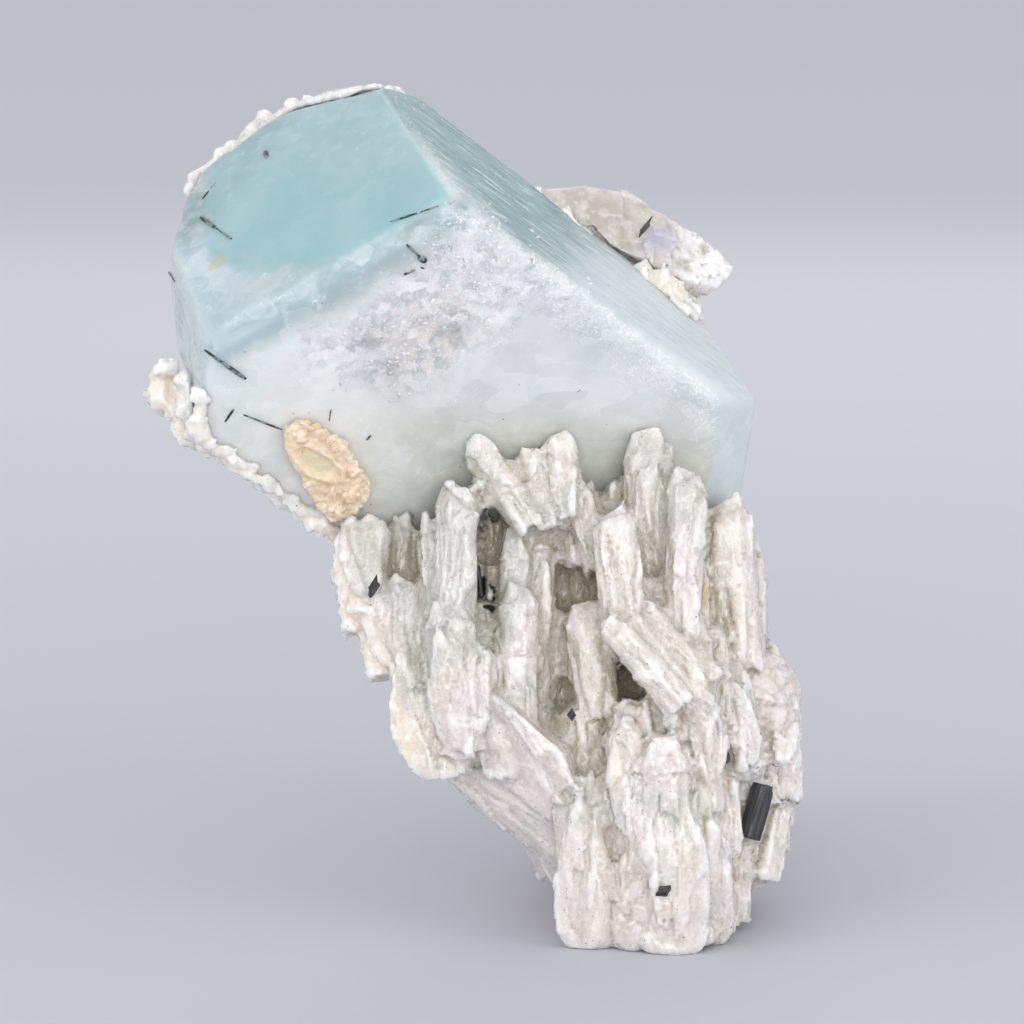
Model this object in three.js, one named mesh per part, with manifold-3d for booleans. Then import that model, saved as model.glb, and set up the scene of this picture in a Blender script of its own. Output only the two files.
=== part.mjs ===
// A blue-green beryl crystal on a matrix of bladed albite, with a few black schorl crystals.
// Millimetres, +Z up. The specimen stands on the flat foot of the albite, its beryl towards -Y.
import * as THREE from 'three';
import { ConvexGeometry } from 'three/addons/geometries/ConvexGeometry.js';
import { mergeVertices } from 'three/addons/utils/BufferGeometryUtils.js';
import Module from 'manifold-3d';

const wasm = await Module();
wasm.setup();

// ---------------------------------------------------------------- driving dimensions

const GAP = 0.3; // free space between neighbouring pieces
const WELD = 1e-4; // vertices closer than this are one
const BLADE_DEPTH = 9; // how far a blade runs back into the mass
const CRUST_ROOT = 0.6; // how far a crust slab starts below the face that it covers
const OUTLINE_SIDES = 8; // corners of each level of the albite's solid mass
const RIGHT_SQUARENESS = 0.5; // 1 makes the right side of a level an oval, 0 a square

// The beryl's faces: outward direction as azimuth and elevation in degrees, and distance from the
// crystal's middle. crust is how far the albite crust on its back stands past that face.
const BERYL_MIDDLE = new THREE.Vector3(0, -4, 56);
const BERYL_FACES = {
  front: { azimuth: -78, elevation: -26, distance: 8.6, crust: -2.5 },
  upperLeft: { azimuth: -133.5, elevation: 47, distance: 25, crust: -0.4 },
  upperRight: { azimuth: -10, elevation: 49, distance: 16.2, crust: -0.8 },
  left: { azimuth: -165, elevation: -2, distance: 29.9, crust: 0.9 },
  lowerLeft: { azimuth: 169, elevation: -47, distance: 20.2, crust: 1.6 },
  bottom: { azimuth: 151, elevation: -59, distance: 24, crust: 2 },
  right: { azimuth: 16, elevation: 0, distance: 29.6, crust: -1.5 },
  rightBevel: { azimuth: -31, elevation: -19, distance: 22.6, crust: -1 },
  edgeStrip: { azimuth: -45, elevation: 16, distance: 18.8, crust: -1 },
  back: { azimuth: 104, elevation: 10, distance: 17.5, crust: 1.1 },
  lowerBack: { azimuth: 122, elevation: -24, distance: 11.5, crust: 1.2 },
  leftBack: { azimuth: 128, elevation: -28, distance: 12.4, crust: 1.4 },
  top: { azimuth: 133, elevation: 76, distance: 30.7, crust: 0.8 },
  topCorner: { azimuth: 158, elevation: 51, distance: 34.6, crust: 0.8 },
  leftCorner: { azimuth: 179, elevation: 11.5, distance: 32.9, crust: 0.5 },
};

// The albite's solid mass, as outlines of its levels from the foot up: height, left, right, front,
// back. One body lies under the beryl, one rises behind its right half, and one fills their flank.
const CORE_LEVELS = [
  [0, 8.2, 26.8, -17, 14],
  [5.5, 8.2, 28.5, -17, 14],
  [10, 5.5, 31, -15, 12],
  [16.5, 0.5, 32.4, -13, 7],
  [23, -3.5, 32.6, -13, 3],
  [28, -5, 30.6, -10.5, 0],
  [34, -6, 29.6, -8, -2],
];
const REAR_LEVELS = [
  [0, 7.6, 26, 5, 37],
  [8, 8.4, 29.5, 4, 39],
  [14, 9.5, 31.6, 3, 39.5],
  [22, 10, 31.6, 2, 39],
  [27, 10, 29.2, 2, 38.5],
  [40, 10, 28, 4, 36.5],
  [48, 10, 26.5, 6, 34],
  [57, 10.5, 24.5, 10, 31],
  [66, 12, 22, 15, 26],
];
const FLANK_LEVELS = [
  [0, 18, 26.5, -8, 16],
  [14, 20, 31.4, -8, 16],
  [22, 20, 31.4, -8, 16],
  [36, 20, 28, -3, 16],
];

// Blades of the front, each [foot, tip, width, depth]: foot and tip lie on the blade's front edge.
const LEFT_BLADES = [
  [[-11, -16, 33.5], [-10, -12.5, 43], 3.8, 6.5],
  [[-7.5, -11.5, 32], [-7.5, -10.2, 42.5], 3, 6.5],
  [[-3.5, -17, 33.5], [-4.5, -15, 43], 2.2, 6.5],
  [[-2.2, -19, 33], [-1.5, -17, 46.5], 4, 6.5],
  [[-1, -21, 20], [-2.5, -20, 35], 5, 6.5],
  [[1, -20, 24], [0.5, -19, 30.5], 2.2, 6.5],
  [[-6.5, -18, 27], [-7, -15, 37], 4, 6.5],
  [[-9.5, -15, 27], [-10.8, -13, 34.5], 2.8, 6.5],
  [[-12.3, -14, 31.5], [-13.2, -12, 37.5], 2.4, 6.5],
  [[-6.2, -17, 21], [-6.5, -16, 28], 3.6, 6.5],
  [[-2.4, -18.5, 17.2], [-3.5, -19, 28], 5.6, 6.5],
  [[-4.6, -16.5, 19], [-6.4, -15, 24.5], 2.6, 6.5],
  [[-13.4, -12, 36], [-12.6, -11, 41.5], 2.2, 6.5],
];
const MIDDLE_BLADES = [
  [[4, -17, 24], [4, -14.5, 41.5], 3],
  [[6.5, -15, 24], [6.5, -12.5, 42.5], 2.6],
  [[4.5, -18, 24], [4.5, -17, 36.5], 4],
  [[4.3, -18.6, 22], [4.3, -18, 30.5], 4.4],
  [[5.5, -15, 42], [-0.5, -12.5, 51], 3.2],
  [[7.8, -14.5, 42], [5.5, -12, 50], 3],
  [[9.4, -14.5, 43], [8.5, -11.5, 51.5], 3.6],
  [[12.5, -15, 38], [10.2, -13, 46.5], 3],
  [[10.5, -13, 38], [9.5, -11.5, 44], 2.4],
  [[12.8, -17, 23], [11, -15, 34.5], 4.6],
  [[2, -10.5, 25], [1.4, -10.4, 42], 1.3],
  [[0.4, -11, 28], [0, -10.6, 41], 1.2],
  [[8.6, -9, 24], [8.6, -9.2, 40], 1.5],
  [[10.4, -9.6, 26], [10.4, -9.4, 41], 1.6],
  [[12.4, -10, 30], [12.4, -10.2, 42], 1.6],
  [[13.8, -10, 34], [14, -9.4, 46], 1.8],
  [[5.5, -18, 19], [5, -15, 25], 6],
  [[11.5, -19, 14], [11.3, -16, 25], 5.6],
  [[16, -21, 20], [16, -19, 25.5], 4],
];
const RIGHT_BLADES = [
  [[15, -20, 33], [14, -17, 44.5], 4.4],
  [[18, -14, 32], [17.5, -10.5, 51.5], 5],
  [[21, -18, 32], [21.5, -13, 48], 3.8],
  [[26.3, -11.5, 27], [25.5, -8, 44], 6],
  [[28.3, -8, 27], [28.3, -4, 39], 3.6],
  [[23, -14, 32], [23, -12, 37.5], 1.5],
  [[20.5, -24, 25.3], [13, -22.8, 34], 3],
  [[22, -21.5, 25], [14, -20, 35], 2.6],
  [[22.5, -20.5, 28], [16, -18.4, 35.2], 2.6],
  [[24, -20, 27.5], [18.5, -17, 33.5], 2.4],
  [[23, -21, 14], [21.5, -18, 34], 4.6],
  [[25.4, -17, 20], [24, -14.5, 32], 3],
  [[27.4, -16, 16.5], [26.2, -13.5, 28], 3.4],
  [[30.3, -12, 13], [29.6, -9, 28.5], 6.2],
  [[32, -8, 14], [31.8, -6, 26], 3.4],
];
const FOOT_BLADES = [
  [[11.5, -21, 1], [10.5, -22, 17.5], 5.5],
  [[13.8, -20, 6], [12.6, -19.4, 15], 3],
  [[16.5, -21, 0], [16.5, -23, 10], 4.4],
  [[16.8, -22, 4], [16, -21, 24.5], 6],
  [[20.5, -23, 0], [19, -24, 22], 4.6],
  [[21.6, -22.4, 0.6], [21.6, -22, 16], 3],
  [[23, -21, 0.6], [23, -20, 14.5], 2.4],
  [[25, -19, 1], [24.5, -20, 11.5], 2.8],
  [[26, -18, 9], [25.5, -17, 18], 2.4],
  [[23, -20, 12], [22.6, -19, 18.5], 3.4],
  [[28.8, -12.5, 5.5], [30.2, -10.5, 14.5], 5.4],
  [[31, -10, 8], [31.8, -8, 17], 3.4],
  [[20, -21, 0], [20.8, -23, 7.5], 4.2],
  [[11.8, -19, 0], [11.3, -20, 7], 5.6],
  [[10.8, -17.5, 1.5], [9.6, -18, 9], 3],
  [[26.6, -14, 1], [26.6, -14, 9], 3.4],
  [[28, -9, 3.5], [28.4, -8.5, 10], 3.6],
];

// The broad smooth cleavage slab at the lower left of the front, by its corners.
const CLEAVAGE_SLAB = [
  [2, -20, 26], [-3.4, -13, 16.6], [-0.8, -11, 13], [3, -12, 10.4], [6.5, -14, 8.4], [8.6, -16, 6.8],
  [9.4, -19.5, 11.5], [10.2, -21.4, 17], [9.2, -21, 20], [4.6, -20.4, 23],
  [2, -5, 24], [11, -5, 19], [10, -5, 8], [1, -5, 14],
];

// Rings of blades round the sides and back of the mass, each [height of the feet, blade height].
const REAR_TIERS = [[0.5, 14], [13, 15], [27, 15], [41, 13], [53, 11]];
const REAR_ARC = [-35, 195]; // azimuths in degrees, from the right round the back to the left
const LEFT_TIERS = [[3, 11], [13, 11], [22, 10]];
const LEFT_ARC = [140, 205];

// Rows of lumps on the crust round the beryl, each [from, to, count, size].
const CRUST_LUMPS = [
  [[-30.6, -9, 57.6], [-31.6, -7.5, 53.4], 4, 1.9],
  [[-28.6, -14.5, 57], [-28.6, -14, 52.4], 4, 1.5],
  [[-30.8, -8.5, 54], [-27.4, -12, 50.2], 5, 1.8],
  [[-28.2, -10.5, 50.8], [-21.6, -9, 45.2], 6, 1],
  [[-21.6, -9, 45.2], [-13.4, -6.5, 39.4], 7, 1],
  [[-27.4, 4.8, 77.8], [-21.2, 5.6, 82.4], 5, 0.85],
  [[-19.6, 5.2, 83.2], [-13.4, 2.6, 84.8], 4, 0.7],
  [[9.4, 14.6, 71.4], [20.6, 18.6, 63.8], 6, 1.1],
  [[19.8, 18.6, 65.4], [23.8, 20.4, 61.6], 4, 1.8],
];

// The grey crystal behind the beryl's upper right edge, by its corners.
const REAR_QUARTZ = [
  [5.8, 17, 73.6], [8.6, 17, 74], [11.7, 18.5, 74.4], [15.8, 19, 73.6], [20.3, 20.5, 71.2],
  [24.6, 21.5, 68.4], [27.8, 20.5, 65.4], [26, 19, 63.2], [22, 15.6, 64.4], [12, 14, 69.4],
  [9, 24, 71], [20, 26, 68], [26.5, 25, 63.5], [15, 24, 64], [22, 23, 60.5],
];

// The ochre patch on the beryl's front face, outlined across and up the face from its middle.
const PATCH_OUTLINE = [
  [-21.2, 0.2], [-19.6, 1.3], [-17.8, 0.6], [-16.2, -0.6], [-14.8, -1.2],
  [-13.8, -3.4], [-12.6, -5.2], [-11.8, -7], [-12.5, -8.7], [-13.7, -10.4],
  [-15.4, -10.8], [-17.2, -9], [-18.4, -6.8], [-19.8, -4], [-20.8, -1.4],
];
const PATCH_THICKNESS = 1.1;
const PATCH_LUMPS = [ // across, up, size
  [-19.4, -0.2, 1], [-13.8, -7.2, 1.2], [-15.2, -9, 1.2], [-13.9, -4.6, 0.9], [-16, -6.9, 0.9],
];

// Schorl prisms by their two ends and radius.
const SCHORL = {
  schorl_prism: { from: [27.9, -14.2, 10.1], to: [29.3, -13.4, 15.3], radius: 1.05 },
  schorl_rod_left: { from: [-10.3, -18.1, 35.9], to: [-9.6, -17.4, 36.9], radius: 0.4 },
  schorl_rod_cavity: { from: [0.7, -12, 34.6], to: [0.3, -11.7, 37.6], radius: 0.25 },
  schorl_grain_ledge: { from: [9.6, -19.4, 23.4], to: [10, -19.2, 24], radius: 0.35 },
  schorl_wedge_foot: { from: [18.5, -24, 6.7], to: [19.4, -24.4, 6.9], radius: 0.4 },
  schorl_grain_hollow: { from: [25.1, -16.8, 18.6], to: [25.6, -16.4, 19.1], radius: 0.45 },
  schorl_rod_rear: { from: [17.5, 15.9, 69.3], to: [18.6, 16.2, 70.5], radius: 0.22 },
};

const UP = new THREE.Vector3(0, 0, 1);
const INWARD = new THREE.Vector3(0, 1, 0);

// ---------------------------------------------------------------- making and joining solids

function solidOf(geometry) {
  const bare = geometry.clone();
  bare.deleteAttribute('normal');
  bare.deleteAttribute('uv');
  const merged = mergeVertices(bare, WELD);
  return new wasm.Manifold(new wasm.Mesh({
    numProp: 3,
    vertProperties: new Float32Array(merged.attributes.position.array),
    triVerts: new Uint32Array(merged.index.array),
  }));
}

function geometryOf(solid) {
  const mesh = solid.getMesh();
  const geometry = new THREE.BufferGeometry();
  geometry.setAttribute('position', new THREE.BufferAttribute(new Float32Array(mesh.vertProperties), 3));
  geometry.setIndex(new THREE.BufferAttribute(new Uint32Array(mesh.triVerts), 1));
  return geometry;
}

function hull(points) {
  return solidOf(new ConvexGeometry(points));
}

function joined(solids) {
  return solids.reduce((sum, solid) => sum.add(solid));
}

function cutBack(solid, others) {
  return others.reduce((rest, other) => rest.subtract(other), solid);
}

// The largest connected body of a solid: loose chips left by a cut are dropped.
function mainBody(solid) {
  return solid.decompose().reduce((best, part) => (part.volume() > best.volume() ? part : best));
}

// A repeatable number from 0 to 1 for each index and use.
function chance(index, use) {
  const wave = Math.sin(index * 127.1 + use * 311.7) * 43758.5453;
  return wave - Math.floor(wave);
}

function between(low, high, share) {
  return low + (high - low) * share;
}

// ---------------------------------------------------------------- the beryl

function planeOf(face, growth) {
  const azimuth = THREE.MathUtils.degToRad(face.azimuth);
  const elevation = THREE.MathUtils.degToRad(face.elevation);
  const normal = new THREE.Vector3(
    Math.cos(elevation) * Math.cos(azimuth),
    Math.cos(elevation) * Math.sin(azimuth),
    Math.sin(elevation),
  );
  return { normal, reach: normal.dot(BERYL_MIDDLE) + face.distance + growth };
}

// The corner where three planes meet, or null where two of them are parallel.
function corner(a, b, c) {
  const bc = new THREE.Vector3().crossVectors(b.normal, c.normal);
  const spread = a.normal.dot(bc);
  if (Math.abs(spread) < 1e-6) return null;
  const ca = new THREE.Vector3().crossVectors(c.normal, a.normal);
  const ab = new THREE.Vector3().crossVectors(a.normal, b.normal);
  return bc.multiplyScalar(a.reach).addScaledVector(ca, b.reach).addScaledVector(ab, c.reach)
    .divideScalar(spread);
}

// The convex solid inside all the planes.
function insideOf(planes) {
  const corners = [];
  for (let i = 0; i < planes.length; i += 1) {
    for (let j = i + 1; j < planes.length; j += 1) {
      for (let k = j + 1; k < planes.length; k += 1) {
        const point = corner(planes[i], planes[j], planes[k]);
        const inside = point && planes.every((p) => p.normal.dot(point) <= p.reach + 1e-5);
        if (inside && !corners.some((other) => other.distanceTo(point) < 1e-3)) corners.push(point);
      }
    }
  }
  return hull(corners);
}

function berylSolid(growth) {
  return insideOf(Object.values(BERYL_FACES).map((face) => planeOf(face, growth)));
}

// A slab of crust on one face of the beryl, reaching past its neighbours by their crust.
function crustOn(name) {
  const planes = Object.values(BERYL_FACES).map((face) => planeOf(face, face.crust));
  const covered = planeOf(BERYL_FACES[name], -CRUST_ROOT);
  planes.push({ normal: covered.normal.clone().negate(), reach: -covered.reach });
  return insideOf(planes);
}

// ---------------------------------------------------------------- the albite

// A point on the outline of a level: an oval, squarer on its right side.
function onOutline([height, left, right, front, back], azimuth, proud = 0) {
  const angle = THREE.MathUtils.degToRad(azimuth);
  const power = Math.cos(angle) > 0 ? RIGHT_SQUARENESS : 1;
  const along = (value) => Math.sign(value) * Math.abs(value) ** power;
  return new THREE.Vector3(
    (left + right) / 2 + along(Math.cos(angle)) * ((right - left) / 2) + Math.cos(angle) * proud,
    (front + back) / 2 + along(Math.sin(angle)) * ((back - front) / 2) + Math.sin(angle) * proud,
    height,
  );
}

// A body built up of levels, each pair of neighbouring outlines hulled.
function stack(levels) {
  const azimuths = Array.from({ length: OUTLINE_SIDES }, (_, side) => ((side + 0.5) * 360) / OUTLINE_SIDES);
  const rings = levels.map((level) => azimuths.map((azimuth) => onOutline(level, azimuth)));
  return joined(rings.slice(1).map((ring, below) => hull([...rings[below], ...ring])));
}

// A blade: a slab with a narrow rounded front that ends in a blunt chisel. foot and tip lie on its
// front edge, width runs across it, depth runs inward.
function blade([foot, tip, width, depth = BLADE_DEPTH], inward = INWARD, index = 0) {
  const base = new THREE.Vector3(...foot);
  const end = new THREE.Vector3(...tip);
  const along = end.clone().sub(base);
  const across = new THREE.Vector3().crossVectors(along, inward).normalize();
  const deep = new THREE.Vector3().crossVectors(across, along).normalize();
  const slope = between(-0.16, 0.16, chance(index, 1)) * width;
  const section = [[-1, depth], [-1, 0.3 * width], [-0.45, 0], [0.45, 0], [1, 0.3 * width], [1, depth]];
  const rings = [
    { height: 0, spread: 0.96, setBack: 0 },
    { height: 0.84, spread: 1, setBack: 0.03 * width },
    { height: 1, spread: 0.5, setBack: 0.3 * width },
  ];
  const points = rings.flatMap(({ height, spread, setBack }) => section.map(([side, into]) => base.clone()
    .addScaledVector(along, height)
    .addScaledVector(along.clone().normalize(), height === 1 ? side * slope : 0)
    .addScaledVector(across, (side * spread * width) / 2)
    .addScaledVector(deep, Math.max(into, setBack))));
  return hull(points);
}

// The level of a stack at any height.
function levelAt(levels, height) {
  const above = Math.max(1, levels.findIndex((level) => level[0] >= height));
  const low = levels[above - 1];
  const high = levels[above];
  const share = THREE.MathUtils.clamp((height - low[0]) / (high[0] - low[0]), 0, 1);
  return [height, ...[1, 2, 3, 4].map((side) => between(low[side], high[side], share))];
}

// Blades that stand side by side round a stack, in tiers that overlap like shingles.
function skirt(levels, tiers, [first, last], seed) {
  const solids = [];
  tiers.forEach(([footHeight, bladeHeight], tier) => {
    let azimuth = first + tier * 7;
    while (azimuth < last) {
      const index = seed + solids.length;
      const width = between(5, 9, chance(index, 2));
      const height = bladeHeight * between(0.75, 1.2, chance(index, 3));
      const lift = between(-1.5, 1.5, chance(index, 4));
      const lean = between(-2.5, 2.5, chance(index, 5));
      const low = Math.max(0, footHeight + lift);
      const base = levelAt(levels, low);
      const foot = onOutline(base, azimuth, between(0.5, 2, chance(index, 6)));
      const end = levelAt(levels, low + height);
      const tip = onOutline(end, azimuth + lean, between(0, 1.2, chance(index, 7)));
      const angle = THREE.MathUtils.degToRad(azimuth);
      const inward = new THREE.Vector3(-Math.cos(angle), -Math.sin(angle), 0);
      solids.push(blade([foot.toArray(), tip.toArray(), width], inward, index));
      azimuth += (width / (base[2] - base[1] + base[4] - base[3])) * 200;
    }
  });
  return solids;
}

// A small angular lump.
function lump(middle, size, index) {
  const geometry = new THREE.IcosahedronGeometry(size, 0);
  geometry.scale(between(0.8, 1.2, chance(index, 1)), between(0.8, 1.2, chance(index, 2)), 1);
  geometry.rotateX(chance(index, 3) * Math.PI);
  geometry.rotateZ(chance(index, 4) * Math.PI);
  geometry.translate(...middle);
  return solidOf(geometry);
}

// The lumps of one row of the crust.
function lumpsAlong([from, to, count, size], row) {
  return Array.from({ length: count }, (_, step) => {
    const index = 10 * (row + 1) + step;
    const middle = new THREE.Vector3(...from).lerp(new THREE.Vector3(...to), (step + 0.5) / count);
    const shift = (use) => between(-0.35, 0.35, chance(index, use)) * size;
    middle.add(new THREE.Vector3(shift(5), shift(6), shift(7)));
    return lump(middle.toArray(), size * between(0.75, 1.25, chance(index, 8)), index);
  });
}

function albiteSolid(others) {
  const frontBlades = [...LEFT_BLADES, ...MIDDLE_BLADES, ...RIGHT_BLADES, ...FOOT_BLADES];
  const grown = joined([
    stack(CORE_LEVELS),
    stack(REAR_LEVELS),
    stack(FLANK_LEVELS),
    hull(CLEAVAGE_SLAB.map((point) => new THREE.Vector3(...point))),
    ...frontBlades.map((row, index) => blade(row, INWARD, index)),
    ...skirt(REAR_LEVELS, REAR_TIERS, REAR_ARC, 200),
    ...skirt(CORE_LEVELS, LEFT_TIERS, LEFT_ARC, 400),
    ...['back', 'lowerLeft', 'topCorner', 'top'].map(crustOn),
    ...CRUST_LUMPS.flatMap(lumpsAlong),
  ]);
  const ground = new THREE.BoxGeometry(200, 200, 20);
  ground.translate(0, 0, -10);
  return mainBody(cutBack(grown, [solidOf(ground), berylSolid(GAP), ...others]));
}

// ---------------------------------------------------------------- the smaller pieces

// A solid by its corners, grown all round by a margin.
function cornered(corners, margin) {
  const points = corners.map((point) => new THREE.Vector3(...point));
  const sum = points.reduce((total, point) => total.add(point), new THREE.Vector3());
  const middle = sum.divideScalar(points.length);
  return hull(points.map((point) => {
    const outward = point.clone().sub(middle).normalize();
    return point.clone().addScaledVector(outward, margin);
  }));
}

// A schorl prism: nine-sided with a rounded-triangle section and bevelled ends.
function schorlSolid({ from, to, radius }, margin) {
  const base = new THREE.Vector3(...from);
  const axis = new THREE.Vector3(...to).sub(base);
  const length = axis.length();
  const turn = new THREE.Quaternion().setFromUnitVectors(UP, axis.normalize());
  const bevel = 0.2 * radius;
  const rings = [
    [-margin, 0.86],
    [bevel - margin, 1],
    [length - bevel + margin, 1],
    [length + margin, 0.86],
  ];
  const points = [];
  for (const [height, share] of rings) {
    for (let side = 0; side < 9; side += 1) {
      const angle = (side * 2 * Math.PI) / 9;
      const reach = (radius * (1 + 0.07 * Math.cos(3 * angle)) + margin) * share;
      points.push(new THREE.Vector3(Math.cos(angle) * reach, Math.sin(angle) * reach, height)
        .applyQuaternion(turn).add(base));
    }
  }
  return hull(points);
}

// The ochre patch: a plate on the beryl's front face, with lumps.
function patchSolid() {
  const front = planeOf(BERYL_FACES.front, GAP);
  const right = new THREE.Vector3().crossVectors(front.normal, UP).normalize().negate();
  const up = new THREE.Vector3().crossVectors(front.normal, right);
  const frame = new THREE.Matrix4().makeBasis(right, up, front.normal);
  frame.setPosition(BERYL_MIDDLE.clone().addScaledVector(front.normal, BERYL_FACES.front.distance + GAP));
  const outline = new THREE.Shape(PATCH_OUTLINE.map(([x, y]) => new THREE.Vector2(x, y)));
  const plate = new THREE.ExtrudeGeometry(outline, { depth: PATCH_THICKNESS, bevelEnabled: false });
  const lumps = PATCH_LUMPS.map(([x, y, size], index) => (
    lump([x, y, PATCH_THICKNESS * 0.7], size, index + 300)
  ));
  const whole = joined([solidOf(plate), ...lumps]).transform(frame.elements);
  return mainBody(whole.subtract(berylSolid(GAP)));
}

// ---------------------------------------------------------------- the specimen

const schorlSockets = Object.values(SCHORL).map((crystal) => schorlSolid(crystal, GAP));
const rearSocket = schorlSolid(SCHORL.schorl_rod_rear, GAP);
const quartz = mainBody(cutBack(cornered(REAR_QUARTZ, 0), [berylSolid(GAP), rearSocket]));

const pieces = {
  beryl: { solid: berylSolid(0), color: 0xa9cfd0, roughness: 0.25, metalness: 0 },
  albite_matrix: {
    solid: albiteSolid([cornered(REAR_QUARTZ, 0.45), ...schorlSockets]),
    color: 0xe6dfd8,
    roughness: 0.7,
    metalness: 0,
  },
  rear_quartz: { solid: quartz, color: 0xc9c2b6, roughness: 0.3, metalness: 0 },
  feldspar_patch: { solid: patchSolid(), color: 0xe8c596, roughness: 0.8, metalness: 0 },
};
for (const [name, crystal] of Object.entries(SCHORL)) {
  pieces[name] = { solid: schorlSolid(crystal, 0), color: 0x1c1b20, roughness: 0.3, metalness: 0 };
}

const specimen = new THREE.Group();
for (const [name, { solid, ...look }] of Object.entries(pieces)) {
  const mesh = new THREE.Mesh(geometryOf(solid), new THREE.MeshStandardMaterial(look));
  mesh.name = name;
  specimen.add(mesh);
}

// The origin is the middle of the specimen's bounding box, on the surface that it stands on.
const box = new THREE.Box3().setFromObject(specimen);
const middle = box.getCenter(new THREE.Vector3());
specimen.position.set(-middle.x, -middle.y, -box.min.z);

export default specimen;
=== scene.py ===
# The looks of a blue-green beryl crystal on a matrix of bladed albite, built round its CAD solids.
# Metres, +Z up, the beryl's broad front face towards -Y. Lengths in the tables are millimetres.
import math

import bpy
import numpy as np
from mathutils import Matrix, Vector
from mathutils.bvhtree import BVHTree


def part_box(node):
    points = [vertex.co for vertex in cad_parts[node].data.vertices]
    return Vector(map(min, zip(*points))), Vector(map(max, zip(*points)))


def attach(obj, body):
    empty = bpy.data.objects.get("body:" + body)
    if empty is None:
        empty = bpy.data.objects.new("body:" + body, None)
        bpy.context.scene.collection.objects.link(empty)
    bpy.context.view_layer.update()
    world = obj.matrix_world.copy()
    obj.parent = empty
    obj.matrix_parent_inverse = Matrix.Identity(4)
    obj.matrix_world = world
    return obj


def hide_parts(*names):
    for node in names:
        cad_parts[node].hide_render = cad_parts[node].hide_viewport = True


MM = 0.001
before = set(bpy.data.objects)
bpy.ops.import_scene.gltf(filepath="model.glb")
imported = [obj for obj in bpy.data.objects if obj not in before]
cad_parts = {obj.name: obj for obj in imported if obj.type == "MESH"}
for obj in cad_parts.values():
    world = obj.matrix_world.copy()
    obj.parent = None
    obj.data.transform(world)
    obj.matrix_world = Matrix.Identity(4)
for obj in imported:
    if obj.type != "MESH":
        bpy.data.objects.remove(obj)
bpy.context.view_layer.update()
chance = np.random.default_rng(11)


# ---------------------------------------------------------------- sizes and places

CAMERA_TARGET = (3.906, -8.313, 41.5)
CAMERA_DISTANCE = 443.73
CAMERA_RISE = 8  # degrees

# The beryl's faces that carry their own finish: outward direction as azimuth and elevation.
BERYL_FACES = {
    "front": (-78, -26),
    "upper_left": (-133.5, 47),
    "upper_right": (-10, 49),
    "left": (-165, -2),
    "edge_strip": (-45, 16),
    "right": (16, 0),
    "right_bevel": (-31, -19),
}

# Places on a face are across and up it from the crystal's middle.
# The lower edge of the deep blue part of the upper left face:
DEEP_BLUE_EDGE = [
    (-24, 7), (-20.5, 2), (-17, -3.6), (-12.5, -8), (-8, -9.4), (-3, -9.2),
    (3, -8.2), (7, -5.4), (10.5, -1.8), (13, 1.4), (17, 5),
]
# The outline of the sugary part of the front face:
SUGAR_EDGE = [
    (-20, 13.5), (-19, 6.5), (-13, 6.4), (-9, 5.2), (-3, 7.8), (1, 12), (5, 15.5),
    (11, 15.4), (14, 17.5), (6, 22.5), (-1, 27), (-6, 30), (-9, 25), (-13, 19),
]
# The middle of the ochre patch on the front face, and the direction of its long axis:
PATCH_MIDDLE = (-17.3, -0.7)
PATCH_LONG = (0.79, -0.61)
# Broad albite lobes at the foot and right: tip and foot as places across and up, then width and thickness.
LOBES = [
    ((10.6, 16.2), (11.9, -1.5), 6.6, 2.6),
    ((15.9, 8.6), (16.3, -1.2), 4.4, 3.0),
    ((18.7, 20.5), (20.2, -1.5), 8.2, 3.0),
    ((15.4, 24.4), (16.6, 12.0), 5.0, 2.0),
    ((23.7, 14.2), (24.6, -0.5), 4.0, 2.6),
    ((22.0, 29.5), (23.6, 17.0), 4.2, 2.0),
    ((30.6, 29.0), (31.0, 18.0), 4.4, 2.4),
    ((26.6, 26.5), (27.4, 17.2), 4.0, 2.0),
    ((-3.6, 33.5), (-0.9, 19.0), 4.4, 1.6),
    ((-7.5, 30.0), (-3.6, 17.0), 6.0, 2.4),
    ((-10.6, 37.5), (-7.6, 28.0), 4.6, 2.0),
    ((-13.0, 43.5), (-10.5, 35.5), 4.0, 1.8),
    ((0.8, 27.0), (3.4, 16.5), 4.4, 2.0),
]
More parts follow.
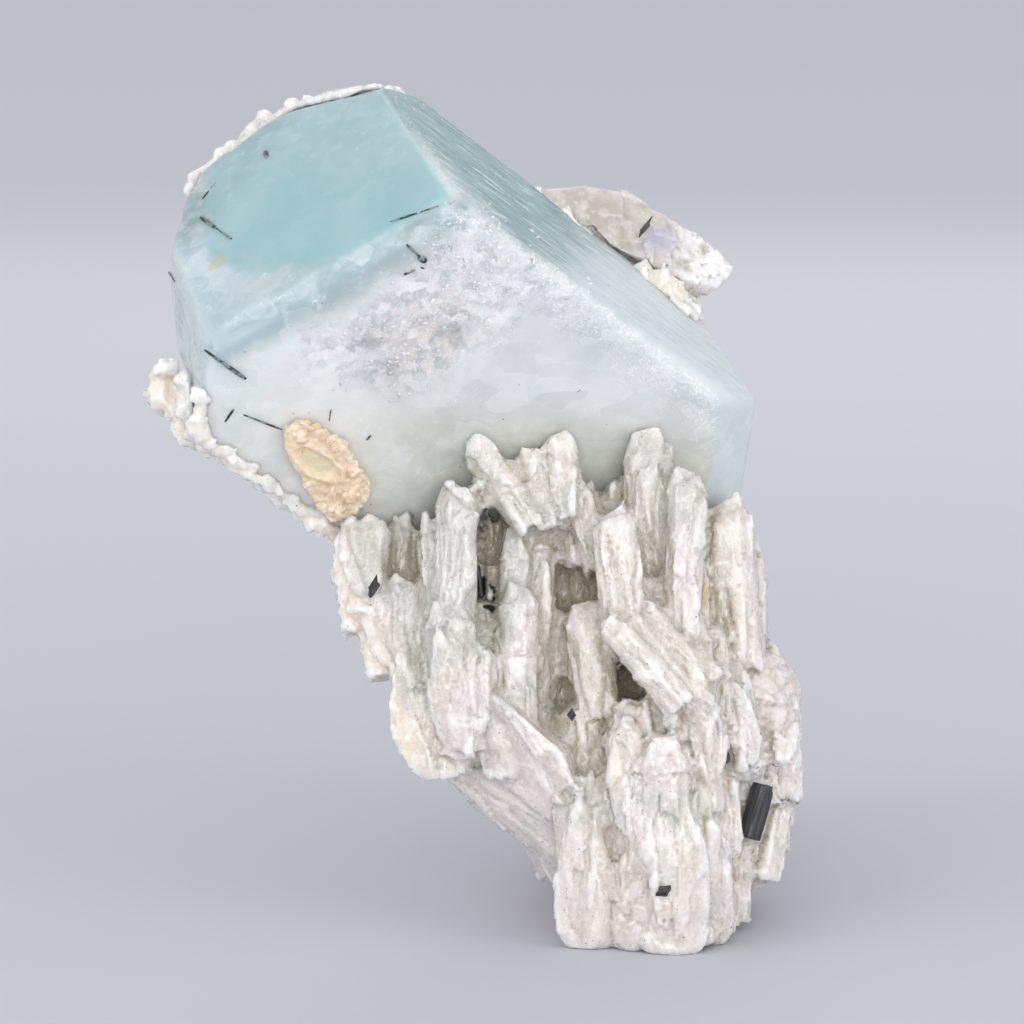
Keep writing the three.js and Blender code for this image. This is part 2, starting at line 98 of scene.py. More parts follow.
# Rows of crust lumps along edges of the beryl: face, from, to, size of a lump, how many.
LUMP_ROWS = [
    ("front", (-29.4, 7.0), (-29.0, 2.0), 1.5, 16),
    ("front", (-28.8, 1.8), (-14.6, -10.2), 1.25, 110),
    ("upper_right", (18.2, 5.5), (19.2, -4.0), 1.0, 22),
    ("upper_right", (18.8, -4.5), (18.6, -11.8), 1.6, 20),
]
NEEDLES = [  # face, from, to, radius
    ("upper_left", (-17.8, -2.7), (-14, -4.2), 0.26),
    ("upper_left", (-14.3, -4.1), (-11.1, -5.3), 0.18),
    ("upper_left", (-19.5, -0.3), (-19.5, 1), 0.15),
    ("upper_left", (-19.4, 1.2), (-19.4, 2.4), 0.08),
    ("upper_left", (-15.6, 6.9), (-14.6, 6), 0.28),
    ("upper_left", (8.7, -1.5), (11.4, -0.1), 0.12),
    ("upper_left", (11.6, 0), (13.5, 1), 0.09),
    ("front", (-9.8, 23.6), (-8.4, 22.2), 0.14),
    ("front", (-8.5, 22.2), (-7.7, 21.6), 0.34),
    ("front", (-9.8, 20.2), (-8.7, 20.7), 0.16),
    ("front", (-8.2, 21), (-7.8, 20.8), 0.12),
    ("front", (-29.1, 12), (-27, 10.2), 0.16),
    ("front", (-27.4, 10.6), (-24.8, 8.5), 0.22),
    ("front", (-24.8, 4.3), (-20.8, 2.4), 0.13),
    ("front", (-26.6, 3.5), (-25.8, 5), 0.14),
    ("front", (-16.1, 3.1), (-16, 4.7), 0.12),
    ("front", (-12.1, 0.9), (-11.7, 1.5), 0.14),
    ("left", (-4.9, 13.4), (-1.2, 12.7), 0.13),
]

# How fine each piece's skin is, in millimetres, and how many faces the albite keeps.
SKIN_CELL = {"albite": 0.27, "beryl": 0.34, "quartz": 0.2, "feldspar": 0.11, "filling": 0.5}
ALBITE_FACES = 95000
# Loose tablets on the albite, with the limits of their length, width and thickness, and flakes on the beryl.
TABLETS = 260
TABLET_SIZES = ((3, 8), (1.2, 2.4), (0.5, 0.9))
SUGAR_FLAKES = 260


# ---------------------------------------------------------------- working with meshes


def only(piece):
    """Deselects everything, then selects one piece and makes it active."""
    bpy.ops.object.select_all(action="DESELECT")
    piece.select_set(True)
    bpy.context.view_layer.objects.active = piece
    return piece


def edit(piece, *steps):
    """Runs steps on everything of a piece in edit mode."""
    only(piece)
    bpy.ops.object.mode_set(mode="EDIT")
    bpy.ops.mesh.select_all(action="SELECT")
    for step in steps:
        step()
    bpy.ops.object.mode_set(mode="OBJECT")
    return piece


def finish_with(piece, kind, **settings):
    """Adds a modifier and applies it."""
    only(piece)
    modifier = piece.modifiers.new(kind.title(), kind)
    for name, value in settings.items():
        setattr(modifier, name, value)
    bpy.ops.object.modifier_apply(modifier=modifier.name)
    return piece


def remesh(piece, size):
    """Rebuilds a piece as one closed skin of cells of a size in millimetres."""
    return finish_with(piece, "REMESH", mode="VOXEL", voxel_size=size * MM, adaptivity=0)


def primitive(add, **sizes):
    """A new primitive, with nothing else selected."""
    bpy.ops.object.select_all(action="DESELECT")
    add(**sizes)
    return bpy.context.object


def cad_copy(node, name):
    """A copy of a CAD node as its own piece, its loose triangles merged."""
    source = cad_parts[node]
    piece = bpy.data.objects.new(name, source.data.copy())
    bpy.context.scene.collection.objects.link(piece)
    piece.data.materials.clear()
    for layer in list(piece.data.attributes):
        if not layer.is_required and not layer.is_internal:
            piece.data.attributes.remove(layer)
    return edit(piece, lambda: bpy.ops.mesh.remove_doubles(threshold=2e-6))


def mesh_piece(name, points, faces):
    """A piece from points in millimetres and faces."""
    mesh = bpy.data.meshes.new(name)
    mesh.from_pydata((np.asarray(points) * MM).tolist(), [], faces)
    piece = bpy.data.objects.new(name, mesh)
    bpy.context.scene.collection.objects.link(piece)
    return piece


def join(piece, others):
    """Joins other objects into a piece."""
    only(piece)
    for other in others:
        other.select_set(True)
    bpy.ops.object.join()
    return piece


def discard(piece):
    bpy.data.objects.remove(piece)


def without_loose_bits(piece):
    """The largest connected part of a piece, under the piece's name."""
    name = piece.name
    only(piece)
    bpy.ops.mesh.separate(type="LOOSE")
    *bits, largest = sorted(bpy.context.selected_objects, key=lambda part: len(part.data.vertices))
    for bit in bits:
        discard(bit)
    largest.name = name
    return largest


def read_each(items, what, width):
    """One property of all vertices or polygons of a mesh, as an array."""
    flat = np.empty(len(items) * width, dtype=np.float32)
    items.foreach_get(what, flat)
    return flat.reshape(-1, width).astype(float) if width > 1 else flat.astype(float)


def places(piece):
    return read_each(piece.data.vertices, "co", 3) / MM


def outward(piece):
    return read_each(piece.data.vertices, "normal", 3)


def put(piece, points):
    piece.data.vertices.foreach_set("co", (points * MM).astype(np.float32).ravel())
    piece.data.update()


def note(piece, **readings):
    """Stores numbers, or directions, for each vertex, for the material to read by their names."""
    for name, values in readings.items():
        values = np.asarray(values, dtype=np.float32)
        kind, field = ("FLOAT_VECTOR", "vector") if values.ndim == 2 else ("FLOAT", "value")
        piece.data.attributes.new(name, kind, "POINT").data.foreach_set(field, values.ravel())


def copies(master, name, spots):
    """One mesh of many copies of a master, each placed by three axes and a middle."""
    base = places(master)
    facets = [tuple(facet.vertices) for facet in master.data.polygons]
    points = [base @ np.asarray(axes) + np.asarray(middle) for axes, middle in spots]
    faces = [tuple(v + len(base) * k for v in facet) for k in range(len(spots)) for facet in facets]
    discard(master)
    return mesh_piece(name, np.concatenate(points), faces)


def hand_in(piece, slot, finish, *nodes):
    """Gives a finished piece its material and its body, and hides the nodes that it stands for; its slot is
    not used.
    """
    piece.data.materials.clear()
    piece.data.materials.append(finish)
    only(piece)
    bpy.ops.object.shade_smooth()
    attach(piece, "root")
    if nodes:
        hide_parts(*nodes)
    print(piece.name, len(piece.data.polygons), "faces")
    return piece


# ---------------------------------------------------------------- roughness of crystals


def smooth(values, low, high):
    """0 at low, 1 at high, eased between them."""
    share = np.clip((values - low) / (high - low), 0, 1)
    return share * share * (3 - 2 * share)


def keys_of(cells):
    """A whole number for each whole-number cell."""
    x, y, z = (cells[:, axis].astype(np.int64) for axis in range(3))
    return x * 73856093 ^ y * 19349663 ^ z * 83492791


def dice(keys, seed):
    """A repeatable number from 0 to 1 for each cell's key."""
    mixed = keys ^ (seed * 2654435761)
    mixed = (mixed ^ (mixed >> 13)) * 1274126177
    mixed = (mixed ^ (mixed >> 16)) & 0xFFFFFF
    return mixed / float(0xFFFFFF)


def waves(points, size, seed):
    """Smooth noise from -1 to 1, with bumps of about a size."""
    scaled = points / size
    low = np.floor(scaled)
    part = scaled - low
    part = part * part * (3 - 2 * part)
    total = np.zeros(len(points))
    for corner in range(8):
        step = np.array([corner & 1, corner >> 1 & 1, corner >> 2 & 1])
        share = np.prod(np.where(step, part, 1 - part), axis=1)
        total += share * dice(keys_of(low + step), seed)
    return total * 2 - 1


def grains(points, sizes, seed):
    """Crowded cells: how far each point is from its cell's middle, the cell's key, and the way there."""
    scaled = points / sizes
    home = np.floor(scaled)
    nearest = np.full(len(points), 9.0)
    nearest_keys = np.zeros(len(points), dtype=np.int64)
    offsets = np.zeros_like(scaled)
    for step in np.ndindex(3, 3, 3):
        cell = home + np.array(step) - 1
        keys = keys_of(cell)
        offset = scaled - cell - np.stack([dice(keys, seed + use) for use in (1, 2, 3)], axis=1)
        gap = np.linalg.norm(offset, axis=1)
        closer = gap < nearest
        nearest[closer] = gap[closer]
        nearest_keys[closer] = keys[closer]
        offsets[closer] = offset[closer]
    return nearest, nearest_keys, offsets


def crystals(points, size, seed):
    """Cells like crowded grains: (distance to the grain's middle, the grain's own number)."""
    nearest, keys, _ = grains(points, size, seed)
    return nearest, dice(keys, seed + 4)


def facets(points, sizes, seed):
    """Cells like cleaved grains, each a flat slope of its own: height from about -0.5 to 0.5."""
    _, keys, offsets = grains(points, sizes, seed)
    slope = np.stack([dice(keys, seed + use) for use in (4, 5, 6)], axis=1) - 0.5
    return (offsets * slope).sum(axis=1) * 1.4 + 0.7 * (dice(keys, seed + 7) - 0.5)


def unit(vectors):
    vectors = np.asarray(vectors, dtype=float)
    return vectors / (np.linalg.norm(vectors, axis=-1, keepdims=True) + 1e-12)


def inside_outline(across, up, outline):
    """Distance inside a closed outline, negative outside it."""
    place = np.stack([across, up], axis=1)
    corners = np.array(outline, dtype=float)
    nearest = np.full(len(place), 1e9)
    within = np.zeros(len(place), dtype=bool)
    for start, end in zip(corners, np.roll(corners, -1, axis=0)):
        run = end - start
        share = np.clip(((place - start) @ run) / (run @ run), 0, 1)
        nearest = np.minimum(nearest, np.linalg.norm(place - start - share[:, None] * run, axis=1))
        crosses = (start[1] > up) != (end[1] > up)
        meet = start[0] + (up - start[1]) / (run[1] if run[1] else 1e-9) * run[0]
        within ^= crosses & (across < meet)
    return np.where(within, nearest, -nearest)


# ---------------------------------------------------------------- material sums


class Reading:
    """The value at one socket of a material, on which sums are done as on a number."""

    def __init__(self, finish, socket):
        self.finish = finish
        self.socket = socket

    def sum(self, operation, first, second=0.0):
        return self.finish.node("Math", {"operation": operation}, {0: first, 1: second})

    def __add__(self, other):
        return self.sum("ADD", self, other)

    __radd__ = __add__

    def __sub__(self, other):
        return self.sum("SUBTRACT", self, other)

    def __rsub__(self, other):
        return self.sum("SUBTRACT", other, self)

    def __mul__(self, other):
        return self.sum("MULTIPLY", self, other)

    __rmul__ = __mul__

    def __truediv__(self, other):
        return self.sum("DIVIDE", self, other)

    def __pow__(self, other):
        return self.sum("POWER", self, other)

    def __lt__(self, other):
        return self.sum("LESS_THAN", self, other)

    def size(self):
        return self.sum("ABSOLUTE", self)

    def eased(self, low, high):
        """0 at low, 1 at high, eased between them."""
        return self.finish.node("MapRange", {"interpolation_type": "SMOOTHSTEP"}, {0: self, 1: low, 2: high})


class Finish:
    """A material being made."""

    def __init__(self, name):
        self.material = bpy.data.materials.new(name)
        self.material.use_nodes = True
        self.tree = self.material.node_tree
        self.tree.nodes.clear()
        self.where = self.node("TexCoord", output="Object")

    def node(self, kind, settings=None, sockets=None, output=0):
        """Makes a node: its settings first, then the values or links of its sockets."""
        made = self.tree.nodes.new("ShaderNode" + kind)
        for name, value in (settings or {}).items():
            setattr(made, name, value)
        for key, value in (sockets or {}).items():
            if isinstance(value, Reading):
                self.tree.links.new(value.socket, made.inputs[key])
            else:
                made.inputs[key].default_value = value
        return Reading(self, made.outputs[output])

    def noted(self, name, output="Fac"):
        """A number noted on the piece's vertices, or a direction with output Vector."""
        return self.node("Attribute", {"attribute_name": name}, output=output)

    def scaled(self, where, across, up, along):
        """A place stretched so that a pattern of 1 mm is as long as these three, in millimetres."""
        stretch = (1 / across, 1 / up, 1 / along)
        return self.node("VectorMath", {"operation": "MULTIPLY"}, {0: where, 1: stretch})

    def noise(self, size, detail=3.0, where=None, rough=0.55, twist=0.0):
        """Cloudy noise around 0.5, with clouds of about a size in millimetres."""
        sockets = {"Scale": 1 / (size * MM), "Detail": detail, "Roughness": rough, "Distortion": twist}
        return self.node("TexNoise", {}, {"Vector": where or self.where, **sockets})

    def grains(self, size, output="Distance", where=None, feature="F1"):
        sockets = {"Vector": where or self.where, "Scale": 1 / (size * MM)}
        return self.node("TexVoronoi", {"feature": feature}, sockets, output)

    def facets(self, size, where=None):
        """Flat grains that each slope their own way, from 0 to 1."""
        where = where or self.where
        middle = self.grains(size, "Position", where)
        tint = self.grains(size, "Color", where)
        own = self.node("VectorMath", {"operation": "SUBTRACT"}, {0: tint, 1: (0.5,) * 3})
        gap = self.node("VectorMath", {"operation": "SUBTRACT"}, {0: where, 1: middle})
        slope = self.node("VectorMath", {"operation": "DOT_PRODUCT"}, {0: gap, 1: own}, "Value")
        return 0.5 + slope / (size * MM)

    def warped(self, size, reach, where=None):
        """Places pushed about by noise, so that straight-edged grains wander."""
        where = where or self.where
        cloud = self.node("TexNoise", {}, {"Vector": where, "Scale": 1 / (size * MM), "Detail": 1.0}, "Color")
        centred = self.node("VectorMath", {"operation": "SUBTRACT"}, {0: cloud, 1: (0.5,) * 3})
        push = self.node("VectorMath", {"operation": "SCALE"}, {0: centred, "Scale": reach * MM * 2})
        return self.node("VectorMath", {"operation": "ADD"}, {0: where, 1: push})

    def threads(self, size, width, where=None):
        """1 on thin winding lines."""
        return 1 - (self.noise(size, 2, where) - 0.5).size().eased(0.0, width)

    def apart(self, colour):
        """One number out of a grain's random colour."""
        return self.node("SeparateColor", {}, {0: colour}, output=0)

    def blend(self, share, first, second):
        """The first colour at 0, the second at 1."""
        return self.node("Mix", {"data_type": "RGBA"}, {0: share, 6: first, 7: second}, output=2)

    def layered(self, colour, *layers):
        """A colour with others laid over it in turn, each given as its share and its colour."""
        for share, tint in layers:
            colour = self.blend(share, colour, tint)
        return colour

    def relief(self, *layers):
        """Bumps laid over one another: a height from 0 to 1, its strength, its size in millimetres."""
        under = {}
        for height, strength, size in layers:
            sockets = {"Strength": strength, "Distance": size * MM, "Height": height}
            under = {"Normal": self.node("Bump", {}, {**sockets, **under})}
        return under["Normal"]

    def surface(self, **values):
        """A Principled surface; names of sockets are written with underscores."""
        sockets = {name.replace("_", " "): value for name, value in values.items()}
        return self.node("BsdfPrincipled", {}, sockets)

    def done(self, surface, volume=None):
        out = self.tree.nodes.new("ShaderNodeOutputMaterial")
        self.tree.links.new(surface.socket, out.inputs["Surface"])
        if volume:
            self.tree.links.new(volume.socket, out.inputs["Volume"])
        return self.material


def hue(red, green, blue):
    """A colour from its usual 0 to 255 numbers."""
    shares = (value / 255 for value in (red, green, blue))
    return (*(s / 12.92 if s <= 0.04045 else ((s + 0.055) / 1.055) ** 2.4 for s in shares), 1.0)


def black_specks(make, size, share, radius):
    """1 on small dots, one in each grain of a size where the grain's number is under a share."""
    gap = make.grains(size)
    chosen = make.apart(make.grains(size, "Color")) < share
    return (gap < radius) * chosen


# ---------------------------------------------------------------- finishes


def albite_finish(name):
    """Glassy white albite: cream and pink tints, olive painted shade in hollows and creases, painted
    highlights on ridges, pale flakes along the blades, dark specks.
    """
    make = Finish(name)
    blade = make.noted("blade", "Vector")
    crust = make.noted("crust")
    streaks = make.noise(1.0, 2, make.scaled(blade, 0.6, 0.9, 5))
    patches = make.noise(9, 1)
    spots = make.noise(2.2, 2)
    flaky = make.scaled(make.warped(1.4, 0.45, blade), 0.9, 0.9, 2.6)
    flakes = make.apart(make.grains(1.0, "Color", flaky))
    rims = 1 - make.grains(1.0, "Distance", flaky, "DISTANCE_TO_EDGE").eased(0.0, 0.1)
    scales = make.apart(make.grains(0.45, "Color"))
    specks = black_specks(make, 1.3, 0.4, 0.075) + black_specks(make, 0.7, 0.16, 0.1)
    colour = make.layered(
        make.blend(patches.eased(0.35, 0.65), hue(217, 207, 196), hue(222, 212, 209)),
        # whiter towards the foot: partly the albite's more opaque white there, partly painted light from the
        # bright table
        (make.noted("white") * 0.25, hue(240, 232, 229)),
        (spots.eased(0.5, 0.8) * 0.35, hue(204, 194, 180)),
        (crust * 0.85, make.blend(spots, hue(255, 232, 208), hue(253, 239, 224))),
        (flakes.eased(0.55, 1.0) * 0.45, hue(248, 244, 241)),
        ((1 - flakes).eased(0.6, 1.0) * (1 - crust) * 0.22, hue(196, 187, 173)),
        (scales.eased(0.6, 1.0) * 0.3, hue(253, 250, 248)),
        (make.noted("glass") * 0.7, hue(192, 193, 186)),
        # painted shade: a darker tan in the creases between the blades
        (make.noted("crease") * (1 - crust) * 0.25, hue(194, 185, 166)),
        # painted shade: olive darkening deep in the hollows, where the blades shut out the light
        (make.noted("hollow") * 0.9, hue(180, 171, 142)),
        # painted highlight: whiter along the ridges of the blades
        (make.noted("edge") * 0.45, hue(253, 251, 249)),
        (rims * streaks.eased(0.45, 0.65) * 0.4, hue(254, 252, 250)),
        (make.threads(0.8, 0.03) * 0.35, hue(253, 252, 251)),
        (make.noted("stain"), hue(196, 160, 96)),
        (specks * 0.75, hue(92, 76, 60)),
    )
    relief = make.relief(
        (streaks, 0.35, 0.2), (make.facets(1.0, flaky), 0.6, 0.35), (make.facets(0.45), 0.8, 0.14),
    )
    return make.done(make.surface(
        Base_Color=colour, Roughness=0.3 + 0.2 * (spots - 0.5) + 0.15 * (scales - 0.5), IOR=1.53,
        Normal=relief, Subsurface_Weight=1.0, Subsurface_Radius=(1.0, 0.93, 0.85),
        Subsurface_Scale=1.3 * MM, Coat_Weight=0.8, Coat_Roughness=0.1,
    ))


def beryl_finish(name, depth):
    """Milky blue-green beryl: deep blue and pale zones, a sugary white part, striped side faces."""
    make = Finish(name)
    deep, sugar, low = make.noted("deep_blue"), make.noted("sugar"), make.noted("greenish")
    striped, side_dark = make.noted("striped"), make.noted("side_dark")
    crinkle = make.noted("crinkle")
    clouds = make.noise(7, 3)
    small = make.noise(1.6, 3)
    fine = make.noise(0.5, 2)
    stripes = make.noise(1.0, 3, make.scaled(make.noted("stripe", "Vector"), 0.42, 0.42, 4), twist=0.3)
    flakes = make.apart(make.grains(2.6, "Color", make.scaled(make.warped(2.2, 0.8), 1.5, 1, 0.8)))
    grainy = make.apart(make.grains(1.1, "Color", make.warped(1.0, 0.5)))
    open_face = (1 - striped) * (1 - deep * 0.85)
    strong = striped * (0.2 + 0.8 * side_dark)
    beige = sugar * make.noted("beige") * small.eased(0.42, 0.62)
    cracks = make.threads(2.6, 0.006) * small.eased(0.45, 0.6)
    fine_cracks = make.threads(0.9, 0.012) * small.eased(0.5, 0.65)
    scratches = make.threads(1.0, 0.01, make.scaled(make.noted("scratch", "Vector"), 9, 1.5, 1))
    specks = black_specks(make, 1.5, 0.2, 0.06) * (1 - deep * 0.7)
    shade = make.layered(
        make.blend(make.noted("smoky"), hue(184, 202, 210), hue(170, 186, 190)),
        # painted shade: darker along the left rim of the blue face, where the lamps light it
        (make.noted("left_rim"), hue(148, 168, 173)),
        (small.eased(0.4, 0.75) * 0.4, hue(206, 217, 221)),
    )
    colour = make.layered(
        make.blend(clouds.eased(0.3, 0.7), hue(211, 215, 215), hue(225, 227, 228)),
        (make.noted("end"), hue(212, 218, 221)),
        (low, make.blend(small.eased(0.3, 0.7), hue(206, 210, 202), hue(219, 221, 213))),
        (make.noted("milk") * 0.5, hue(248, 249, 248)),
        (make.noted("pale_blue"), shade),
        (flakes.eased(0.5, 1.0) * 0.25 * open_face, hue(240, 243, 244)),
        ((1 - flakes).eased(0.6, 1.0) * 0.16 * open_face, hue(186, 196, 198)),
        (deep, make.blend(clouds.eased(0.35, 0.7), hue(162, 202, 207), hue(176, 211, 215))),
        (small.eased(0.56, 0.75) * 0.25 * deep, hue(196, 214, 218)),
        (striped, make.blend(side_dark, hue(222, 228, 230), hue(140, 168, 173))),
        (strong * stripes.eased(0.5, 0.6) * 0.75, hue(116, 146, 150)),
        (strong * (1 - stripes.eased(0.34, 0.44)) * 0.65, hue(234, 241, 242)),
        (make.noted("bright"), hue(224, 229, 232)),
        (sugar, make.blend(grainy, hue(203, 206, 209), hue(241, 241, 242))),
        (crinkle * make.threads(0.7, 0.03) * 0.8, hue(254, 254, 254)),
        (crinkle * make.threads(1.5, 0.01) * 0.4, hue(176, 178, 182)),
        (beige * 0.45, hue(226, 208, 192)),
        (make.noted("smoke"), hue(150, 152, 160)),
        (make.noted("stain"), hue(205, 186, 140)),
        (cracks * open_face * 0.5, hue(248, 250, 250)),
        (fine_cracks * open_face * 0.5, hue(246, 248, 248)),
        (scratches * low * clouds.eased(0.45, 0.6) * 0.4, hue(244, 246, 244)),
        (specks * 0.7, hue(80, 78, 74)),
    )
    relief = make.relief(
        (make.facets(1.8), 0.25, 0.4), (stripes * strong, 0.6, 0.25),
        (make.facets(0.9) * crinkle, 0.6, 0.35), (make.facets(0.45) * crinkle, 0.8, 0.18),
        (fine * (0.25 + 0.75 * sugar), 0.5, 0.12),
    )
    milky = make.surface(
        Base_Color=colour, Roughness=0.3 + 0.15 * sugar + 0.06 * striped + 0.1 * (small - 0.5), IOR=1.575,
        Normal=relief, Subsurface_Weight=1.0, Subsurface_Radius=(0.8, 1.0, 1.0), Subsurface_Scale=depth * MM,
    )
    clear = make.surface(
        Base_Color=hue(236, 244, 244), Roughness=0.12, IOR=1.575, Normal=relief, Transmission_Weight=1.0,
    )
    share = make.noted("clear") * (0.75 + 0.5 * (clouds - 0.5))
    tint = make.node("VolumeAbsorption", {}, {"Color": (0.6, 0.9, 0.9, 1), "Density": 10.0})
    return make.done(make.node("MixShader", {}, {0: share, 1: milky, 2: clear}), tint)


def quartz_finish():
    """Tan-grey half-clear quartz, frosted white at one end and along its lower edge, with a lilac facet."""
    make = Finish("quartz_tan_grey")
    clouds = make.noise(2, 4)
    scales = make.apart(make.grains(0.45, "Color"))
    frost = make.noted("frost") * clouds.eased(0.3, 0.55)
    colour = make.layered(
        make.blend(clouds.eased(0.35, 0.65), hue(190, 183, 174), hue(212, 206, 201)),
        (frost, hue(250, 248, 248)),
        (scales.eased(0.8, 1.0) * (0.25 + 0.5 * frost), hue(250, 247, 244)),
        ((1 - scales).eased(0.8, 1.0) * frost * 0.5, hue(150, 148, 150)),
        (make.noted("lilac") * 0.8, hue(190, 188, 210)),
        (black_specks(make, 1.1, 0.3, 0.09) * 0.8, hue(84, 72, 62)),
    )
    relief = make.relief(
        (clouds, 0.4, 0.4), (make.facets(0.7), 0.2 + 0.6 * frost, 0.3), (make.noise(0.4, 2), 0.3, 0.08),
    )
    return make.done(make.surface(
        Base_Color=colour, Roughness=0.34 + 0.2 * (clouds - 0.5), IOR=1.545, Normal=relief,
        Subsurface_Weight=1.0, Subsurface_Radius=(1.0, 0.95, 0.85), Subsurface_Scale=2.2 * MM,
    ))


def feldspar_finish():
    """Ochre feldspar: cream rims, orange grains, a yellowish-green hollow."""
    make = Finish("feldspar_ochre")
    clouds = make.noise(1.6, 3)
    grains = make.apart(make.grains(0.6, "Color"))
    colour = make.layered(
        make.blend(clouds.eased(0.35, 0.65), hue(228, 204, 174), hue(240, 224, 202)),
        (grains.eased(0.55, 1.0) * 0.6, hue(226, 194, 158)),
        (make.noted("hollow"), hue(236, 220, 188)),
        (black_specks(make, 0.9, 0.3, 0.09) * 0.7, hue(120, 84, 52)),
    )
    return make.done(make.surface(
        Base_Color=colour, Roughness=0.5 + 0.2 * (clouds - 0.5), IOR=1.53,
        Normal=make.relief((make.grains(0.45), 0.5, 0.15), (make.noise(0.3, 2), 0.5, 0.08)),
        Subsurface_Weight=0.8, Subsurface_Radius=(1.0, 0.8, 0.55), Subsurface_Scale=1.2 * MM,
    ))


def schorl_finish():
    """Black schorl: glossy, with fine lines along the prism."""
    make = Finish("schorl_black")
    lines = make.noise(1.0, 3, make.scaled(make.noted("blade", "Vector"), 0.12, 0.12, 3))
    colour = make.layered(
        make.blend(lines.eased(0.35, 0.7), hue(16, 16, 19), hue(44, 44, 49)),
        (make.noise(0.35, 3).eased(0.62, 0.75) * 0.4, hue(120, 112, 104)),
    )
    return make.done(make.surface(
        Base_Color=colour, Roughness=0.24 + 0.25 * make.noise(0.5, 2), IOR=1.64,
        Normal=make.relief((lines, 0.5, 0.05)),
    ))


def needle_finish():
    """Black needles grown into the beryl, grey where they dip under its surface."""
    make = Finish("schorl_needles")
    colour = make.blend(make.noise(0.7, 2).eased(0.48, 0.58) * 0.8, hue(24, 28, 30), hue(140, 152, 152))
    return make.done(make.surface(Base_Color=colour, Roughness=0.35, IOR=1.64))


def floor_finish():
    """A pale satin table, darker round the middle and lighter far away: painted light and shade."""
    make = Finish("table_pale_satin")
    away = make.node("VectorMath", {"operation": "LENGTH"}, {0: make.where}, output="Value")
    # painted shade round the middle, painted light far away
    colour = make.blend(away.eased(0.02, 1.5) ** 0.5, hue(200, 201, 208), hue(224, 225, 233))
    rough = 0.75 + 0.05 * make.noise(60, 2)
    return make.done(make.surface(Base_Color=colour, Roughness=rough, IOR=1.4, Specular_IOR_Level=0.1))


# ---------------------------------------------------------------- the albite


def solid_tree(piece):
    points = [Vector(p) for p in places(piece)]
    return BVHTree.FromPolygons(points, [tuple(f.vertices) for f in piece.data.polygons])


def blade_directions(points):
    """For each point of the albite, the long edge of the CAD facet beside it, blade tips left out."""
    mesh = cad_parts["albite_matrix"].data
    corners = [v.co / MM for v in mesh.vertices]
    upright = Vector((0.1, 0.0, 1.0)).normalized()
    facets, longest = [], []
    for polygon in mesh.polygons:
        facet = tuple(polygon.vertices)
        edges = [corners[facet[k]] - corners[facet[k - 1]] for k in range(3)]
        edge = max(edges, key=lambda e: e.length * (0.2 + abs(e.normalized().z)))
        if abs(polygon.normal.z) < 0.4 or edge.length > 7:
            facets.append(facet)
            rising = edge.normalized() * (1 if edge.z > 0 else -1)
            longest.append(upright if polygon.normal.y > 0.25 else rising)
    tree = BVHTree.FromPolygons(corners, facets)
    directions = np.array(longest)[[tree.find_nearest(p)[2] for p in points.tolist()]]
    return np.where(crust_of(points)[:, None] > 0, upright, directions)


def along_blades(points, axes):
    """Each point's place across, into and along its blade."""
    across = unit(np.cross(axes, (0.0, 1.0, 0.0)))
    into = np.cross(across, axes)
    return np.stack([(points * d).sum(axis=1) for d in (across, into, axes)], axis=1)


def hollowness(points, normals, tree, reach=9.0):
    """How shut in each point is, from 0 in the open to 1 deep in a hollow."""
    spread = [(0, 0, 1)]
    spread += [(0.8, 0, 0.6), (-0.8, 0, 0.6), (0, 0.8, 0.6), (0, -0.8, 0.6)]
    spread += [(0.5, 0.5, 0.7), (-0.5, 0.5, 0.7), (0.5, -0.5, 0.7), (-0.5, -0.5, 0.7)]
    side = unit(np.cross(normals, (0.3, 0.9, 0.2)))
    other = np.cross(normals, side)
    starts = (points + normals * 0.4).tolist()
    shut = np.zeros(len(points))
    for a, b, c in spread:
        directions = unit(a * side + b * other + c * normals).tolist()
        for index, (start, direction) in enumerate(zip(starts, directions)):
            _, facing, _, gap = tree.ray_cast(start, direction, reach)
            if gap is not None and facing @ Vector(direction) < 0:
                shut[index] += 1 - gap / reach
    return shut / len(spread)


def sliver_master():
    """One thin albite tablet, a unit long and wide, with a slanting chipped end."""
    piece = primitive(bpy.ops.mesh.primitive_cube_add, size=MM)
    piece.name = "tablet_master"
    edit(piece, lambda: bpy.ops.mesh.bevel(offset=0.16 * MM, segments=1, affect="EDGES"))
    points = places(piece)
    top = points[:, 2] > 0.2
    points[top, 2] += 0.22 * points[top, 0]
    points[top, :2] *= 0.72
    points[~top, :2] *= 0.85
    put(piece, points)
    return piece


def settled(total, points, normals, axes, weights, sizes, lean, sink, tree):
    """Places for tablets on a surface, long way up the blades: axes of each and its middle."""
    chosen = chance.choice(len(points), total, p=weights / weights.sum())
    spots = []
    for k in chosen:
        length, width, thick = (chance.uniform(*limits) for limits in sizes)
        along = unit(axes[k] + lean * chance.normal(size=3))
        out = unit(normals[k] - along * (normals[k] @ along) + 2 * lean * chance.normal(size=3))
        side = unit(np.cross(along, out))
        out = np.cross(side, along)
        middle = points[k] + normals[k] * (thick * 0.5 - sink * chance.uniform(0.4, 1.2))
        ends = [tree.find_nearest(Vector(middle + along * length * half))[3] for half in (-0.5, 0.5)]
        if max(ends) < 0.2 + thick * 0.5:
            spots.append(([side * width, out * thick, along * length], middle))
    return spots


